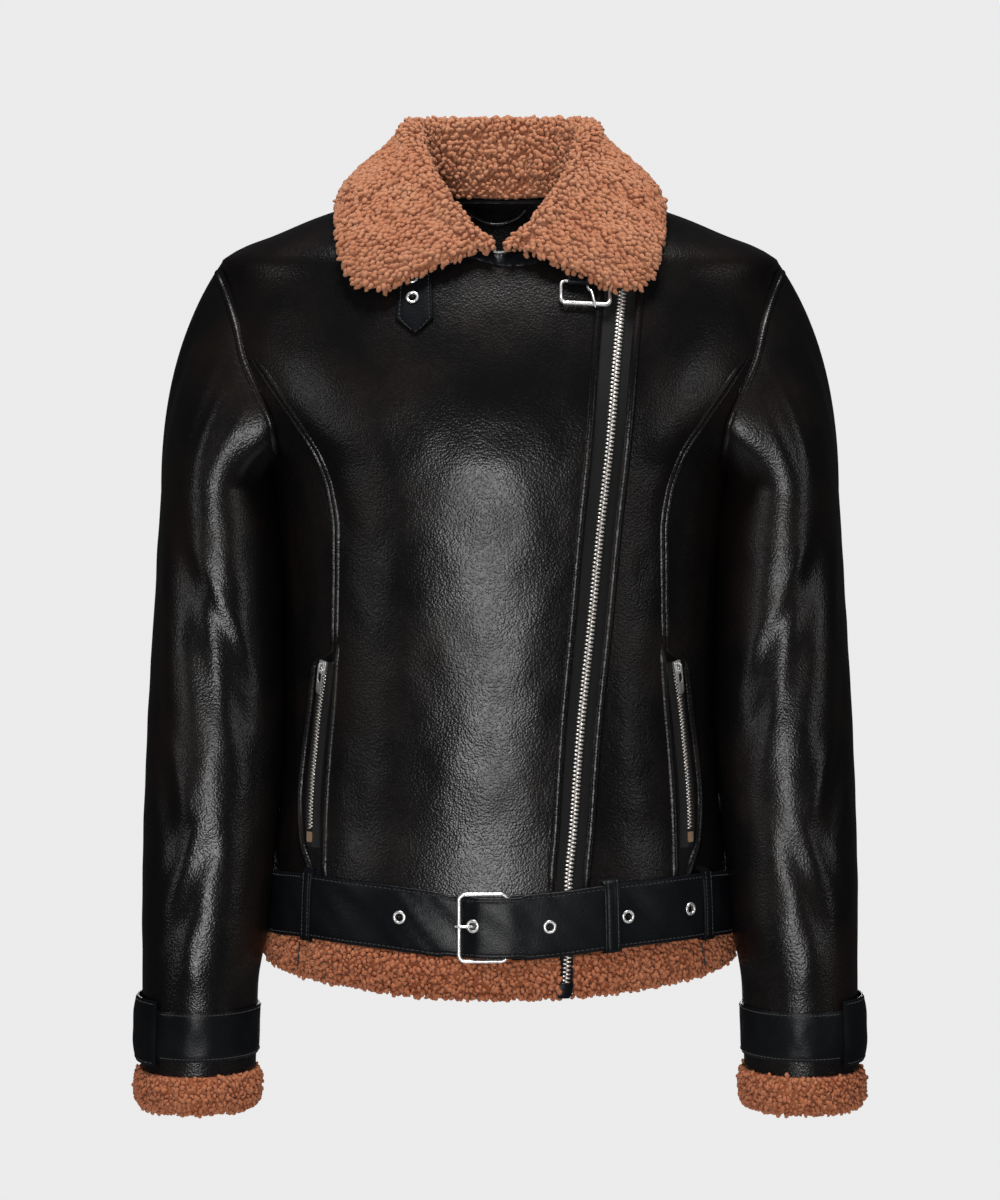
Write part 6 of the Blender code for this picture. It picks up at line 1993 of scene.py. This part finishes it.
makeBody()
sleeveGrids = {}
for side, where in ((-1, "Right"), (1, "Left")):
    sleeveGrids[side] = makeSleeve(side, where)
    makeCuff(side, where.lower(), sleeveGrids[side][0])
print("sleeves made")
makeSeams()
makeArmholes(sleeveGrids)
makeBelt()
makeLoops()
makeBeltBuckle()
makeHem()
makeCollar()
makeNeckInside()
makeNeckBand()
makeThroatStrap()
makeNeckBuckle()
makeZips()
for thing in longLocks + shortLocks + [stitch, tooth]:
    bpy.data.objects.remove(thing)


# Floor, light and camera
def fadingFloor():
    look, tree, shader = newLook("studioFloor", 0.9, specular=0.1)
    shader.inputs["Base Color"].default_value = (0.80, 0.80, 0.80, 1)
    away = tree.nodes.new("ShaderNodeVectorMath")
    away.operation = "LENGTH"
    link(tree, objectPlace(tree), away.inputs[0])
    link(tree, spread(tree, away.outputs["Value"], 0.7, 1.2, 1.0, 0.0), shader.inputs["Alpha"])
    size, level = 1.25, -1.06
    mesh = bpy.data.meshes.new("floor")
    rim = [(size * math.cos(t), size * math.sin(t), 0) for t in np.linspace(0, 2 * np.pi, 96, endpoint=False)]
    mesh.from_pydata([(0, 0, 0)] + rim, [], [(0, 1 + k, 1 + (k + 1) % 96) for k in range(96)])
    mesh.materials.append(look)
    floor = addObject("floor", mesh)
    floor.location = (0, 0, level)


def aimed(name, data, place, aim):
    thing = addObject(name, data)
    thing.location = place
    way = mathutils.Vector(aim) - mathutils.Vector(place)
    thing.rotation_euler = way.to_track_quat("-Z", "Y").to_euler()
    return thing


def softbox(name, place, aim, width, height, watts):
    light = bpy.data.lights.new(name, "AREA")
    light.shape = "RECTANGLE"
    light.size, light.size_y = width, height
    light.energy = watts
    aimed(name, light, place, aim)


def setStage():
    fadingFloor()
    aim = (0, 0, -0.33)
    softbox("frontBox", (-0.22, -2.95, -0.42), aim, 0.80, 0.74, 40)
    for name, x in (("leftBox", -1.95), ("rightBox", 1.95)):
        softbox(name, (x, -1.30, 0.10), (0, 0, -0.30), 0.26, 1.2, 5.2)
    softbox("topBox", (0.0, -0.50, 1.8), (0, 0, -0.1), 0.8, 0.5, 42)
    softbox("backBox", (0.0, 2.95, -0.45), aim, 1.2, 1.0, 24)
    world = bpy.data.worlds.new("studio")
    bpy.context.scene.world = world
    world.use_nodes = True
    tree = world.node_tree
    # the camera sees a pale wall, and the jacket is lit by little of it
    shown = tree.nodes["Background"]
    shown.inputs["Color"].default_value = (0.835, 0.835, 0.835, 1)
    lit = tree.nodes.new("ShaderNodeBackground")
    lit.inputs["Color"].default_value = (1, 1, 1, 1)
    lit.inputs["Strength"].default_value = 0.03
    ray = tree.nodes.new("ShaderNodeLightPath")
    mix = tree.nodes.new("ShaderNodeMixShader")
    link(tree, ray.outputs["Is Camera Ray"], mix.inputs[0])
    link(tree, lit.outputs[0], mix.inputs[1])
    link(tree, shown.outputs[0], mix.inputs[2])
    link(tree, mix.outputs[0], tree.nodes["World Output"].inputs[0])
    bpy.context.scene.view_settings.view_transform = "Standard"
    bpy.context.scene.view_settings.look = "None"

    camera = bpy.data.cameras.new("camera")
    camera.lens = 101.4
    camera.sensor_width = 36.0
    bpy.context.scene.camera = aimed("camera", camera, (0.0, -2.5, -0.178), (0, 0, -0.303))


setStage()


print("cuts", json.dumps(cuts))
